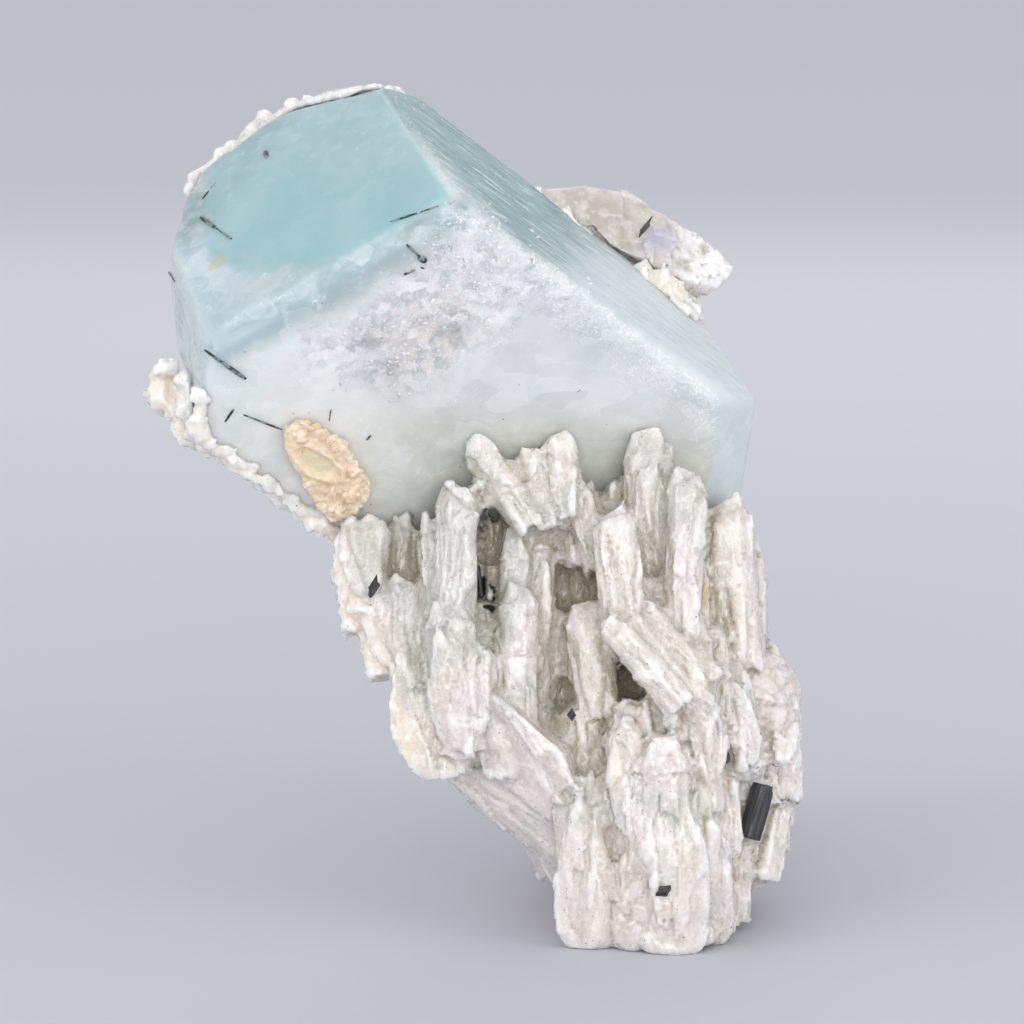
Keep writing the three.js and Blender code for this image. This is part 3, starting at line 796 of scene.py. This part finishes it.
def facet_samples(piece, total):
    """Random places on a piece's facets, with their normals."""
    mesh = piece.data
    mesh.calc_loop_triangles()
    corners = places(piece)
    triangles = np.array([t.vertices[:] for t in mesh.loop_triangles])
    a, b, c = (corners[triangles[:, k]] for k in range(3))
    cross = np.cross(b - a, c - a)
    area = np.linalg.norm(cross, axis=1)
    pick = chance.choice(len(area), total, p=area / area.sum())
    u, v = chance.random((2, total))
    flip = u + v > 1
    u, v = np.where(flip, 1 - u, u)[:, None], np.where(flip, 1 - v, v)[:, None]
    return a[pick] + u * (b - a)[pick] + v * (c - a)[pick], unit(cross[pick])


def prism_seat():
    """A lump that closes the albite round the root of the largest black prism."""
    lump = cad_copy("schorl_prism", "prism_seat")
    points = places(lump)
    middle = points.mean(axis=0)
    put(lump, middle + (points - middle) * 1.2 + (0, 1.1, 0))
    return lump


def lobes(tree):
    """Broad pointed lobes that lean on the front of the albite."""
    master = primitive(bpy.ops.mesh.primitive_uv_sphere_add, segments=24, ring_count=20, radius=MM)
    points = places(master)
    ring = np.maximum(np.hypot(points[:, 0], points[:, 1]), 1e-6)
    high = points[:, 2]
    width = np.where(high > 0, (1 - np.abs(high)) ** 0.7, (1 - high ** 4) ** 0.5)
    points[:, 0] *= width / ring
    points[:, 1] *= width ** 0.7 / ring
    points[:, 1] *= 1 - 0.35 * np.abs(points[:, 0])
    put(master, points)
    spots = []
    for tip, foot, width, thick in LOBES:
        tip, foot = np.array(tip), np.array(foot)
        reached = []
        for part in np.linspace(0.05, 0.95, 7):
            across, up = foot + part * (tip - foot)
            for aside in (-0.25, 0, 0.25):
                met = tree.ray_cast(Vector((across + aside * width, -60, max(up, 0.5))), Vector((0, 1, 0)))[0]
                if met:
                    reached.append((part, met.y))
        slope, start = np.polyfit(*np.array(reached).T, 1)
        above = min(y - start - slope * part for part, y in reached)
        start += 0.7 * max(above, -thick * 0.6)
        low, high = (np.array([end[0], start + slope * part, end[1]]) for end, part in ((foot, 0), (tip, 1)))
        along = (high - low) / 2
        side = unit(np.cross(along, (0.0, 1.0, 0.0)))
        out = unit(np.cross(along, side))
        out *= -np.sign(out[1])
        spots.append(([side * width / 2, -out * thick / 2, along], (low + high) / 2 - out * thick * 0.2))
    return copies(master, "lobes", spots)


def filled(piece, reach):
    """A copy of a piece whose clefts narrower than twice a reach are filled."""
    only(piece)
    bpy.ops.object.duplicate()
    filling = bpy.context.object
    remesh(filling, SKIN_CELL["filling"])
    put(filling, places(filling) + outward(filling) * reach)
    remesh(filling, SKIN_CELL["filling"])
    for _ in range(3):
        put(filling, places(filling) - outward(filling) * (reach + SKIN_CELL["filling"]) / 3)
    return filling


def lump_rows(faces):
    """Rows of small crust lumps along edges of the beryl."""
    master = primitive(bpy.ops.mesh.primitive_ico_sphere_add, subdivisions=2, radius=MM)
    points = places(master)
    put(master, points * (1 + 0.35 * waves(points, 0.8, 150))[:, None])
    spots = []
    for name, start, end, size, total in LUMP_ROWS:
        face = faces[name]
        start, run = np.array(start), np.array(end) - start
        for part in np.linspace(0, 1, total):
            across, up = start + part * run + chance.uniform(-0.45, 0.45, 2) * size
            radius = size * chance.uniform(0.35, 0.75)
            turn = np.array(Matrix.Rotation(chance.uniform(0, 6.3), 3, unit(chance.normal(size=3))))
            axes = turn * radius * chance.uniform(0.7, 1.2, (3, 1))
            spots.append((axes, face.place(across, up, radius * 0.3)))
    return copies(master, "lump_rows", spots)


def bends(piece):
    """How sharply a piece bends at each point, per millimetre: above 0 on ridges, below 0 in creases."""
    mesh = piece.data
    points, normals = places(piece), outward(piece)
    pairs = np.array([edge.vertices[:] for edge in mesh.edges])
    first, second = pairs[:, 0], pairs[:, 1]
    offset = points[second] - points[first]
    bend = (offset * (normals[second] - normals[first])).sum(axis=1) / (offset ** 2).sum(axis=1)
    ends = np.concatenate([first, second])
    count = np.bincount(ends, minlength=len(points))
    level = np.bincount(ends, np.concatenate([bend, bend]), len(points)) / count
    for _ in range(2):
        level = np.bincount(ends, np.concatenate([level[second], level[first]]), len(points)) / count
    return level


def crust_of(points):
    """1 on the lumpy crust round the beryl, 0 on the blades below it."""
    high = smooth(points[:, 2] + 3 * waves(points, 4, 81), 47, 56)
    left = smooth(points[:, 0] + 0.4 * (points[:, 2] - 44), -14, -16)
    return np.maximum(high, left)


def top_left_of(points):
    """1 on the thin clearer crust along the beryl's top left edge."""
    return smooth(points[:, 2], 62, 67) * smooth(points[:, 0], 6, 0)


def clear_of_prisms(points):
    """Places on the albite, drawn back behind the small black prisms where they would cover them."""
    for name in ("schorl_rod_cavity", "schorl_rod_left", "schorl_grain_ledge", "schorl_grain_hollow"):
        low, high = (np.array(corner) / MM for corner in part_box(name))
        middle = (low + high) / 2
        beside = (np.abs(points - middle) < (high - low) / 2 + 0.35)[:, [0, 2]].all(axis=1)
        covering = beside & (points[:, 1] < middle[1] + 0.3) & (points[:, 1] > middle[1] - 3)
        points[covering, 1] = middle[1] + 0.3
    return points


def albite_body(piece, tree, faces):
    """The albite with its lobes, filled clefts, tablets and crust lumps, as one closed skin."""
    crystal = solid_tree(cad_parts["beryl"])
    points, normals = facet_samples(piece, 9000)
    clear_of_beryl = np.array([crystal.find_nearest(p)[3] > 1.2 for p in points.tolist()])
    keep = clear_of_beryl & (points[:, 2] > 2.5) & (np.abs(normals[:, 2]) < 0.9)
    points, normals = points[keep], normals[keep]
    axes = blade_directions(points)
    front = np.where(normals[:, 1] < 0.2, 1.0, 0.45) * smooth(points[:, 2], 16, 30)
    spots = settled(TABLETS, points, normals, axes, front, TABLET_SIZES, 0.04, 0.45, tree)
    join(piece, [lobes(tree), prism_seat()])
    join(piece, [filled(piece, 0.8), copies(sliver_master(), "slivers", spots), lump_rows(faces)])
    put(piece, np.maximum(places(piece), (-np.inf, -np.inf, 0)))
    return remesh(piece, SKIN_CELL["albite"])


def albite_relief(points, normals):
    """How far each point of the albite stands out: cleaved blades below, lumps on the crust."""
    local = along_blades(points, blade_directions(points))
    bent = local + 0.3 * np.stack([waves(points, 4, seed) for seed in (7, 8, 9)], axis=1)
    blades = 0.42 * facets(bent, (2.3, 3.4, 9), 20) + 0.1 * facets(bent, (0.9, 1.3, 4), 30)
    blades *= 1 - 0.75 * smooth(points[:, 0], 11, 8) * smooth(points[:, 2], 25, 21)
    front_foot = smooth(points[:, 2], 30, 20) * smooth(normals[:, 1], 0, -0.4)
    blades += front_foot * 0.7 * facets(bent, (3.4, 3.4, 11), 36)
    blades += smooth(normals[:, 1], 0.2, 0.6) * 1.2 * facets(bent, (3.2, 3.2, 8), 35)

    gap, number = crystals(points, 1.2, 40)
    lumps = 0.22 * (0.6 - gap) + 0.12 * (number - 0.5)
    lumps = lumps + 0.35 * facets(points, 1.3, 50) + 0.12 * facets(points, 0.6, 52)
    lumps *= 1 - 0.55 * top_left_of(points)

    crust = crust_of(points)
    fine = 0.07 * facets(points, 0.8, 51) + 0.02 * waves(points, 0.6, 62) - 0.02
    return blades * (1 - crust) + lumps * crust + 0.2 * waves(points, 5, 60) + fine


def albite(faces):
    """The bladed matrix, in the place of its CAD node."""
    piece = cad_copy("albite_matrix", "albite_blades")
    tree = solid_tree(piece)
    albite_body(piece, tree, faces)
    points, normals = places(piece), outward(piece)
    behind = smooth(points[:, 1], -2, 6) * smooth(points[:, 2], 3, 8)
    ragged = 1.6 * waves(points * (1, 1, 0.3), 3.0, 37) + 0.7 * waves(points * (1, 1, 0.4), 1.2, 38)
    points[:, 2] += behind * ragged
    settle = np.clip(points[:, 2] / 1.2, 0, 1)
    points += normals * (albite_relief(points, normals) * settle)[:, None]
    points[:, 2] = np.maximum(points[:, 2], 0)
    put(piece, clear_of_prisms(points))
    finish_with(piece, "DECIMATE", ratio=min(1.0, ALBITE_FACES / len(piece.data.polygons)))
    piece = without_loose_bits(piece)

    points, normals = places(piece), outward(piece)
    crust = crust_of(points)
    top_left = top_left_of(points)
    left = smooth(points[:, 0], 16, 2) * smooth(points[:, 2], 22, 34) * (1 - crust)
    high = smooth(points[:, 2], 34, 42) * (1 - crust)
    glass = waves(points, 5, 70) + 0.5 * waves(points, 2, 71) + 0.9 * left + 0.5 * high
    bend = bends(piece)
    note(
        piece,
        blade=along_blades(points, blade_directions(points)) * MM,
        # painted shade deep in the hollows
        hollow=smooth(hollowness(points, normals, tree), 0.12, 0.6) * (1 - 0.7 * crust),
        # painted highlight along the ridges
        edge=smooth(bend, 0.12, 0.7),
        # painted shade in the creases
        crease=smooth(-bend, 0.12, 0.7),
        glass=np.maximum(smooth(glass, 0.2, 1.0), 0.9 * top_left),
        crust=crust * (1 - 0.8 * top_left),
        # whiter towards the foot: partly its own opaque white, partly painted light
        white=smooth(points[:, 2], 32, 6),
        stain=stained(points),
    )
    hand_in(piece, "albite", albite_finish("albite_sugary_white"), "albite_matrix")


def stained(points):
    """Where iron has stained the albite: the cavity on the right and a spot below it."""
    low = np.array(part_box("albite_matrix")[0]) / MM
    cavity = np.array([22.9, low[1] + 12.5, 34.5])
    spot = np.array([18.9, low[1] + 8.5, 27.3])
    stain = 0.8 * smooth(np.linalg.norm((points - cavity) * (1.2, 0.6, 0.7), axis=1), 2.2, 0.6)
    return np.clip(stain + 0.6 * smooth(np.linalg.norm(points - spot, axis=1), 1.2, 0.3), 0, 1)


# ---------------------------------------------------------------- the beryl


def direction_of(azimuth, elevation):
    azimuth, elevation = math.radians(azimuth), math.radians(elevation)
    return np.array([
        math.cos(elevation) * math.cos(azimuth), math.cos(elevation) * math.sin(azimuth), math.sin(elevation),
    ])


def flat_faces(piece):
    """The planes of a flat-faced piece: outward directions, and how far out each lies."""
    points = places(piece)
    facets = sorted(piece.data.polygons, key=lambda facet: -facet.area)
    directions = []
    for facet in facets:
        direction = np.array(facet.normal)
        if facet.area > 2 * MM * MM and all(direction @ other < 0.9995 for other in directions):
            directions.append(direction)
    directions = np.array(directions)
    return directions, (points @ directions.T).max(axis=0)


class Face:
    """One named face of the beryl: where it lies, and places across and up it."""

    def __init__(self, name, directions, reaches):
        aim = direction_of(*BERYL_FACES[name])
        self.index = int(np.argmax(directions @ aim))
        self.out = directions[self.index]
        self.across = unit(np.cross((0, 0, 1), self.out))
        self.up = np.cross(self.out, self.across)
        low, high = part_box("beryl")
        middle = np.array((low + high) / 2) / MM
        self.middle = middle + self.out * (reaches[self.index] - middle @ self.out)

    def read(self, points):
        return (points - self.middle) @ self.across, (points - self.middle) @ self.up

    def place(self, across, up, deep=0.0):
        return self.middle + across * self.across + up * self.up - deep * self.out


def flattened(points, directions, reaches, upper_left, front):
    """Points brought to the beryl's flat faces, rounded where two meet, and the way out at each."""
    for _ in range(5):
        gaps = points @ directions.T - reaches
        soft = np.exp(-((gaps[:, upper_left] - gaps[:, front]) / 5) ** 2)
        sharp = ((3.2 + 1.4 * waves(points, 3, 101)) * (1 - 0.7 * soft))[:, None]
        pull = np.exp(sharp * (gaps - gaps.max(axis=1, keepdims=True)))
        total = pull.sum(axis=1, keepdims=True)
        level = gaps.max(axis=1, keepdims=True) + np.log(total) / sharp
        slope = (pull / total) @ directions
        points -= slope * level / (slope * slope).sum(axis=1, keepdims=True)
    return points, unit(slope)


def blot(across, up, middle, size):
    """1 in the middle of a soft oval patch on a face, 0 away from it."""
    return np.exp(-((across - middle[0]) / size[0]) ** 2 - ((up - middle[1]) / size[1]) ** 2)


def note_upper_left(piece, face, points, gaps, on):
    """The blue face: deep blue above, paler by its edges, smoky on its right, an ochre stain, painted shade
    along its left rim.
    """
    across, up = face.read(points)
    edge = np.interp(across, *np.array(DEEP_BLUE_EDGE).T)
    edge = edge + 0.7 * waves(points, 2.6, 110) + 0.3 * waves(points, 1, 111)
    deep = smooth(up - edge, -0.7, 1.5) * (1 - 0.55 * smooth(up, -3, 12)) * on["upper_left"]
    deep *= 1 - 0.4 * smooth(across + 0.25 * up, -8, -20)
    reach = 3 + 2.6 * smooth(across, -8, 6)
    pale = smooth(gaps[:, face.index] / reach, -1.15, -0.35)
    pale += 0.3 * smooth(points[:, 0], -14, -30)
    pale += 0.6 * smooth(points[:, 1] - 0.5 * points[:, 0], 2, 8)
    ochre = np.linalg.norm(points - face.place(-10.7, -8.5), axis=1)
    note(
        piece,
        deep_blue=deep,
        pale_blue=np.clip(pale, 0, 1),
        smoky=np.clip(smooth(across, -12, 4) + 0.8 * smooth(up, -5, 1), 0, 1),
        # painted shade along the left rim
        left_rim=smooth(across, -13, -17) * smooth(up, -9, -5),
        stain=0.6 * np.exp(-((ochre - 0.75) / 0.35) ** 2),
    )
    return deep


def stripe_places(faces, points, normals, on):
    """Each point's place across, out of and along the growth stripes of the side faces, a little wavy."""
    along_right = unit(np.cross(faces["front"].out, faces["upper_right"].out))
    along_left = unit(np.cross(faces["left"].out, faces["upper_left"].out))
    run = np.where(on["left"][:, None] > on["upper_right"][:, None], along_left, along_right)
    cross = np.cross(normals, run)
    stripe = [(points * cross).sum(1), (points * normals).sum(1) * 0.3, (points * run).sum(1)]
    stripe[0] += 0.35 * waves(points, 2.2, 131)
    stripe[2] += 0.35 * waves(points, 3, 132)
    return np.stack(stripe, axis=1)


def beryl(faces, directions, reaches):
    """The blue-green crystal, in the place of its CAD node."""
    piece = cad_copy("beryl", "beryl_crystal")
    remesh(piece, SKIN_CELL["beryl"])
    order = {name: face.index for name, face in faces.items()}
    points, normals = flattened(places(piece), directions, reaches, order["upper_left"], order["front"])
    gaps = points @ directions.T - reaches
    on = {name: smooth(gaps[:, index], -0.9, -0.15) for name, index in order.items()}
    deep = note_upper_left(piece, faces["upper_left"], points, gaps, on)

    across, up = faces["front"].read(points)
    ragged = 1.6 * waves(points, 3, 120) + 0.9 * waves(points, 1.1, 121)
    sugar = smooth(inside_outline(across, up, SUGAR_EDGE) + ragged, -1.0, 4.5)
    sugar *= smooth(gaps[:, order["front"]], -1.5, -0.6)
    sugar *= smooth(-gaps[:, order["upper_left"]], 2.0, 4.5)
    smoke = 0.5 * blot(across, up, (-4.1, 13.7), (1.5, 1.0))
    smoke += 0.35 * blot(across, up, (-12.6, 12.2), (1.6, 1.6))
    smoke += 0.3 * blot(across, up, (-10.8, 9), (2.5, 1.5))
    low = on["front"] * smooth(up + 0.15 * across, 7, 0)
    milk = on["front"] * smooth(across, -2, -18)
    by_edge = np.maximum(gaps[:, order["upper_right"]], gaps[:, order["edge_strip"]])
    by_edge = smooth(by_edge + 1.5 * waves(points, 3, 141), -5.5, -1.5)

    side = np.maximum(on["upper_right"], on["left"])
    some = smooth(waves(points, 4, 125), -0.4, 0.5)
    striped = np.clip(side + 0.4 * on["edge_strip"] * some, 0, 1)
    stripe = stripe_places(faces, points, normals, on)
    across_right, up_right = faces["upper_right"].read(points)
    dark = smooth(up_right + 1.5 * waves(points, 5, 126), -5, 6)
    dark *= smooth(across_right - 0.45 * up_right, -27, -14)

    grain, _ = crystals(points, 0.75, 130)
    _, step = crystals(stripe / (0.7, 50, 6), 1.0, 135)
    rough = 0.1 * (0.5 - grain) + 0.25 * facets(points, 1.1, 139) + 0.12 * waves(points, 1.6, 133)
    relief = sugar * rough + 0.16 * striped * (step - 0.5)
    relief += 0.06 * waves(points, 5, 134) + 0.02 * waves(points, 1.2, 136)
    rim = np.exp(-((gaps.max(axis=1) - np.sort(gaps, axis=1)[:, -2]) / 0.5) ** 2)
    relief -= 0.14 * rim * smooth(waves(points, 1.8, 137), 0, 0.8)
    put(piece, points + normals * relief[:, None])

    note(
        piece,
        bright=on["edge_strip"] * 0.7,
        end=np.maximum(on["right"], on["right_bevel"]),
        sugar=sugar,
        crinkle=np.maximum(sugar, on["front"] * by_edge),
        beige=blot(across, up, (-7.5, 12.5), (5, 5)),
        smoke=np.clip(smoke, 0, 1) * on["front"],
        greenish=low,
        milk=milk,
        striped=striped,
        side_dark=np.clip(on["upper_right"] * (0.12 + 0.88 * dark) + 0.25 * on["left"], 0, 1),
        stripe=stripe * MM,
        scratch=np.stack([across - 0.5 * up, up + 0.2 * across, 0 * up], axis=1) * MM,
        clear=0.08 * low * (1 - milk) + 0.2 * deep + 0.2 * on["right"],
    )
    hand_in(piece, "beryl", beryl_finish("beryl_milky_blue_green", 3.2), "beryl")


def flake_master():
    """One flat angular flake, a unit across."""
    master = primitive(bpy.ops.mesh.primitive_cylinder_add, vertices=5, radius=MM, depth=MM)
    points = places(master)
    points[points[:, 2] > 0, :2] *= 0.7
    put(master, points * (1 + 0.3 * waves(points, 0.9, 150))[:, None])
    return master


def sugar_flakes(faces):
    """White flakes that stand up a little in the sugary part of the beryl's front face."""
    face = faces["front"]
    spots = []
    while len(spots) < SUGAR_FLAKES:
        across, up = chance.uniform(-22, 16), chance.uniform(4, 31)
        place = face.place(across, up)
        depth = inside_outline(np.array([across]), np.array([up]), SUGAR_EDGE)[0]
        crowd = smooth(waves(place[None], 2.6, 151)[0], -0.6, 0.7)
        if chance.random() < smooth(depth, -1.0, 2.5) * crowd:
            out = unit(face.out + 0.3 * chance.normal(size=3))
            side = unit(np.cross(out, chance.normal(size=3)))
            size = chance.uniform(0.08, 0.24)
            axes = [side * size * chance.uniform(1, 2), np.cross(out, side) * size, out * 0.1]
            spots.append((axes, place + face.out * 0.02))
    piece = copies(flake_master(), "sugar_flakes", spots)
    note(piece, sugar=np.ones(len(piece.data.vertices)))
    hand_in(piece, "beryl", beryl_finish("beryl_white_flakes", 0.1))


def needles(faces):
    """Thin dark prisms half grown into the beryl's faces."""
    master = primitive(bpy.ops.mesh.primitive_cylinder_add, vertices=7, radius=MM, depth=MM)
    edit(master, lambda: bpy.ops.mesh.subdivide(number_cuts=3, smoothness=0))
    points = places(master)
    taper = 1 - 0.35 * smooth(np.abs(points[:, 2]), 0.3, 0.5)
    points[:, :2] *= (taper + 0.12 * waves(points, 0.3, 160))[:, None]
    put(master, points)
    spots = []
    for name, start, end, radius in NEEDLES:
        face = faces[name]
        start, end = face.place(*start, 0.05), face.place(*end, 0.05)
        along = unit(end - start)
        side = unit(np.cross(along, face.out))
        length = np.linalg.norm(end - start)
        axes = [side * radius, np.cross(along, side) * radius * 0.8, along * length]
        spots.append((axes, (start + end) / 2))
    hand_in(copies(master, "schorl_needles", spots), "schorl", needle_finish())


# ---------------------------------------------------------------- the smaller crystals


def rear_quartz():
    piece = cad_copy("rear_quartz", "quartz_crystal")
    remesh(piece, SKIN_CELL["quartz"])
    points, normals = places(piece), outward(piece)
    low, high = (np.array(c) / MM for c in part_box("rear_quartz"))
    edge = smooth(points[:, 2], low[2] + 5, low[2] + 2) * smooth(points[:, 0], low[0] + 4, low[0] + 8)
    right = smooth(points[:, 0], high[0] - 9, high[0] - 3)
    relief = 0.2 * waves(points, 3.5, 201) + 0.5 * facets(points, 3.6, 202) - 0.1
    relief += (0.06 + 0.25 * np.maximum(edge, right)) * facets(points, 0.9, 203)
    relief += 0.5 * edge * (0.4 - crystals(points, 1.2, 204)[0])
    put(piece, points + normals * relief[:, None])
    lilac = np.linalg.norm((points - (high[0] - 8, low[1] + 3, low[2] + 8)) * (0.7, 0.3, 1), axis=1)
    note(
        piece,
        lilac=0.8 * smooth(lilac, 1.8, 0.8),
        frost=np.clip(edge + 0.8 * right, 0, 1),
    )
    hand_in(piece, "quartz", quartz_finish(), "rear_quartz")


def feldspar_patch(faces):
    piece = cad_copy("feldspar_patch", "feldspar_grains")
    remesh(piece, SKIN_CELL["feldspar"])
    points, normals = places(piece), outward(piece)
    face = faces["front"]
    across, up = (read - middle for read, middle in zip(face.read(points), PATCH_MIDDLE))
    long = across * PATCH_LONG[0] + up * PATCH_LONG[1]
    short = up * PATCH_LONG[0] - across * PATCH_LONG[1]
    ring = np.sqrt((long / 2.9) ** 2 + (short / 1.25) ** 2) + 0.1 * waves(points, 0.8, 210)
    out = smooth((points - face.middle) @ face.out, -0.2, 0.4)
    grain, number = crystals(points, 0.7, 211)
    grainy = smooth(ring, 0.9, 1.6)
    relief = grainy * (0.3 * (0.5 - grain) + 0.35 * (number - 0.5)) + 0.1 * waves(points, 0.45, 212)
    relief += out * (0.3 * np.exp(-((ring - 1.1) / 0.2) ** 2) - 0.3 * smooth(ring, 1.0, 0.6))
    put(piece, points + normals * relief[:, None])
    note(piece, hollow=smooth(ring, 1.0, 0.7) * out)
    hand_in(piece, "feldspar", feldspar_finish(), "feldspar_patch")


def schorl(node):
    """A striated black prism with a broken end, in the place of one CAD prism."""
    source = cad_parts[node]
    corners = np.array([v.co for v in source.data.vertices]) / MM
    middle = (corners.min(axis=0) + corners.max(axis=0)) / 2
    spread = np.linalg.svd(corners - corners.mean(axis=0))[2]
    along = spread[0] * (1 if spread[0][2] > 0 else -1)
    length = np.ptp(corners @ along)
    radius = np.linalg.norm(np.cross(corners - middle, along), axis=1).max()
    piece = primitive(bpy.ops.mesh.primitive_cylinder_add, vertices=9, radius=MM, depth=MM)
    piece.name = node.replace("schorl", "black")
    only(piece)
    bpy.ops.object.mode_set(mode="EDIT")
    bpy.ops.mesh.select_all(action="DESELECT")
    bpy.ops.object.mode_set(mode="OBJECT")
    for facet in piece.data.polygons:
        facet.select = abs(facet.normal.z) > 0.9
    bpy.ops.object.mode_set(mode="EDIT")
    bpy.ops.mesh.inset(thickness=0.14 * MM, depth=0.02 * MM)
    bpy.ops.mesh.select_all(action="SELECT")
    bpy.ops.mesh.bevel(offset=0.05 * MM, segments=2, affect="EDGES")
    bpy.ops.mesh.quads_convert_to_tris()
    bpy.ops.object.mode_set(mode="OBJECT")
    finish_with(piece, "SUBSURF", subdivision_type="SIMPLE", levels=3, render_levels=3)
    points = places(piece)
    angle = np.arctan2(points[:, 1], points[:, 0])
    groove = waves(np.stack([angle * 6, points[:, 2] * 2, 0 * angle], axis=1), 1.0, 220)
    points[:, :2] *= (1 + 0.05 * groove)[:, None]
    if length < 2:
        points *= (1 + 0.3 * waves(points + middle, 0.9, 222))[:, None]
        points[:, 2] += 0.25 * points[:, 0]
    chip = smooth(waves(points * (1, 1, 5), 0.8, 221), 0.25, 0.5) * smooth(-points[:, 0], 0.5, 0.9)
    points[:, :2] *= (1 - 0.2 * chip)[:, None]
    side = unit(np.cross(along, (0, 1, 0)))
    axes = np.array([side * radius, np.cross(along, side) * radius, along * length])
    note(piece, blade=points * (radius, radius, length) * MM)
    put(piece, points @ axes + middle)
    edit(piece, lambda: bpy.ops.mesh.normals_make_consistent(inside=False))
    hand_in(piece, "schorl", SCHORL_FINISH, node)


# ---------------------------------------------------------------- the stage


def stage():
    floor = primitive(bpy.ops.mesh.primitive_circle_add, vertices=96, radius=8, fill_type="NGON")
    floor.name = "floor"
    floor.data.materials.append(floor_finish())

    world = bpy.data.worlds.new("studio")
    bpy.context.scene.world = world
    world.use_nodes = True
    world.node_tree.nodes["Background"].inputs[0].default_value = (0.96, 0.97, 1.0, 1)
    world.node_tree.nodes["Background"].inputs[1].default_value = 0.7
    lamp("key", (-0.6, -0.5, 0.7), 0.6, 1.5)
    lamp("left", (-0.9, -0.4, 0.1), 0.5, 1.6)
    lamp("front", (0.1, -1.1, 0.12), 0.9, 1.5, 70)
    lamp("fill", (0.7, -0.6, 0.35), 0.6, 2.1)
    lamp("rear", (0.1, 0.7, 0.6), 0.5, 1.0)

    camera = bpy.data.cameras.new("camera")
    camera.lens = 150
    camera.sensor_width = 36
    camera.clip_start = 0.01
    camera.clip_end = 50
    view = bpy.data.objects.new("camera", camera)
    bpy.context.scene.collection.objects.link(view)
    rise = math.radians(CAMERA_RISE)
    away = Vector((0, -math.cos(rise), math.sin(rise)))
    view.location = (Vector(CAMERA_TARGET) + away * CAMERA_DISTANCE) * MM
    view.rotation_euler = away.to_track_quat("Z", "Y").to_euler()
    bpy.context.scene.camera = view
    bpy.context.scene.view_settings.view_transform = "Standard"


def lamp(name, place, size, power, spread=180):
    light = bpy.data.lights.new(name, "AREA")
    light.size = size
    light.energy = power
    light.spread = math.radians(spread)
    holder = bpy.data.objects.new(name, light)
    bpy.context.scene.collection.objects.link(holder)
    holder.location = place
    holder.rotation_euler = (Vector(place) - Vector((0, 0, 0.04))).to_track_quat("Z", "Y").to_euler()


planes, plane_reaches = flat_faces(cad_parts["beryl"])
beryl_places = {name: Face(name, planes, plane_reaches) for name in BERYL_FACES}
albite(beryl_places)
beryl(beryl_places, planes, plane_reaches)
sugar_flakes(beryl_places)
needles(beryl_places)
rear_quartz()
feldspar_patch(beryl_places)
SCHORL_FINISH = schorl_finish()
for prism in sorted(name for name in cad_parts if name.startswith("schorl")):
    schorl(prism)
stage()
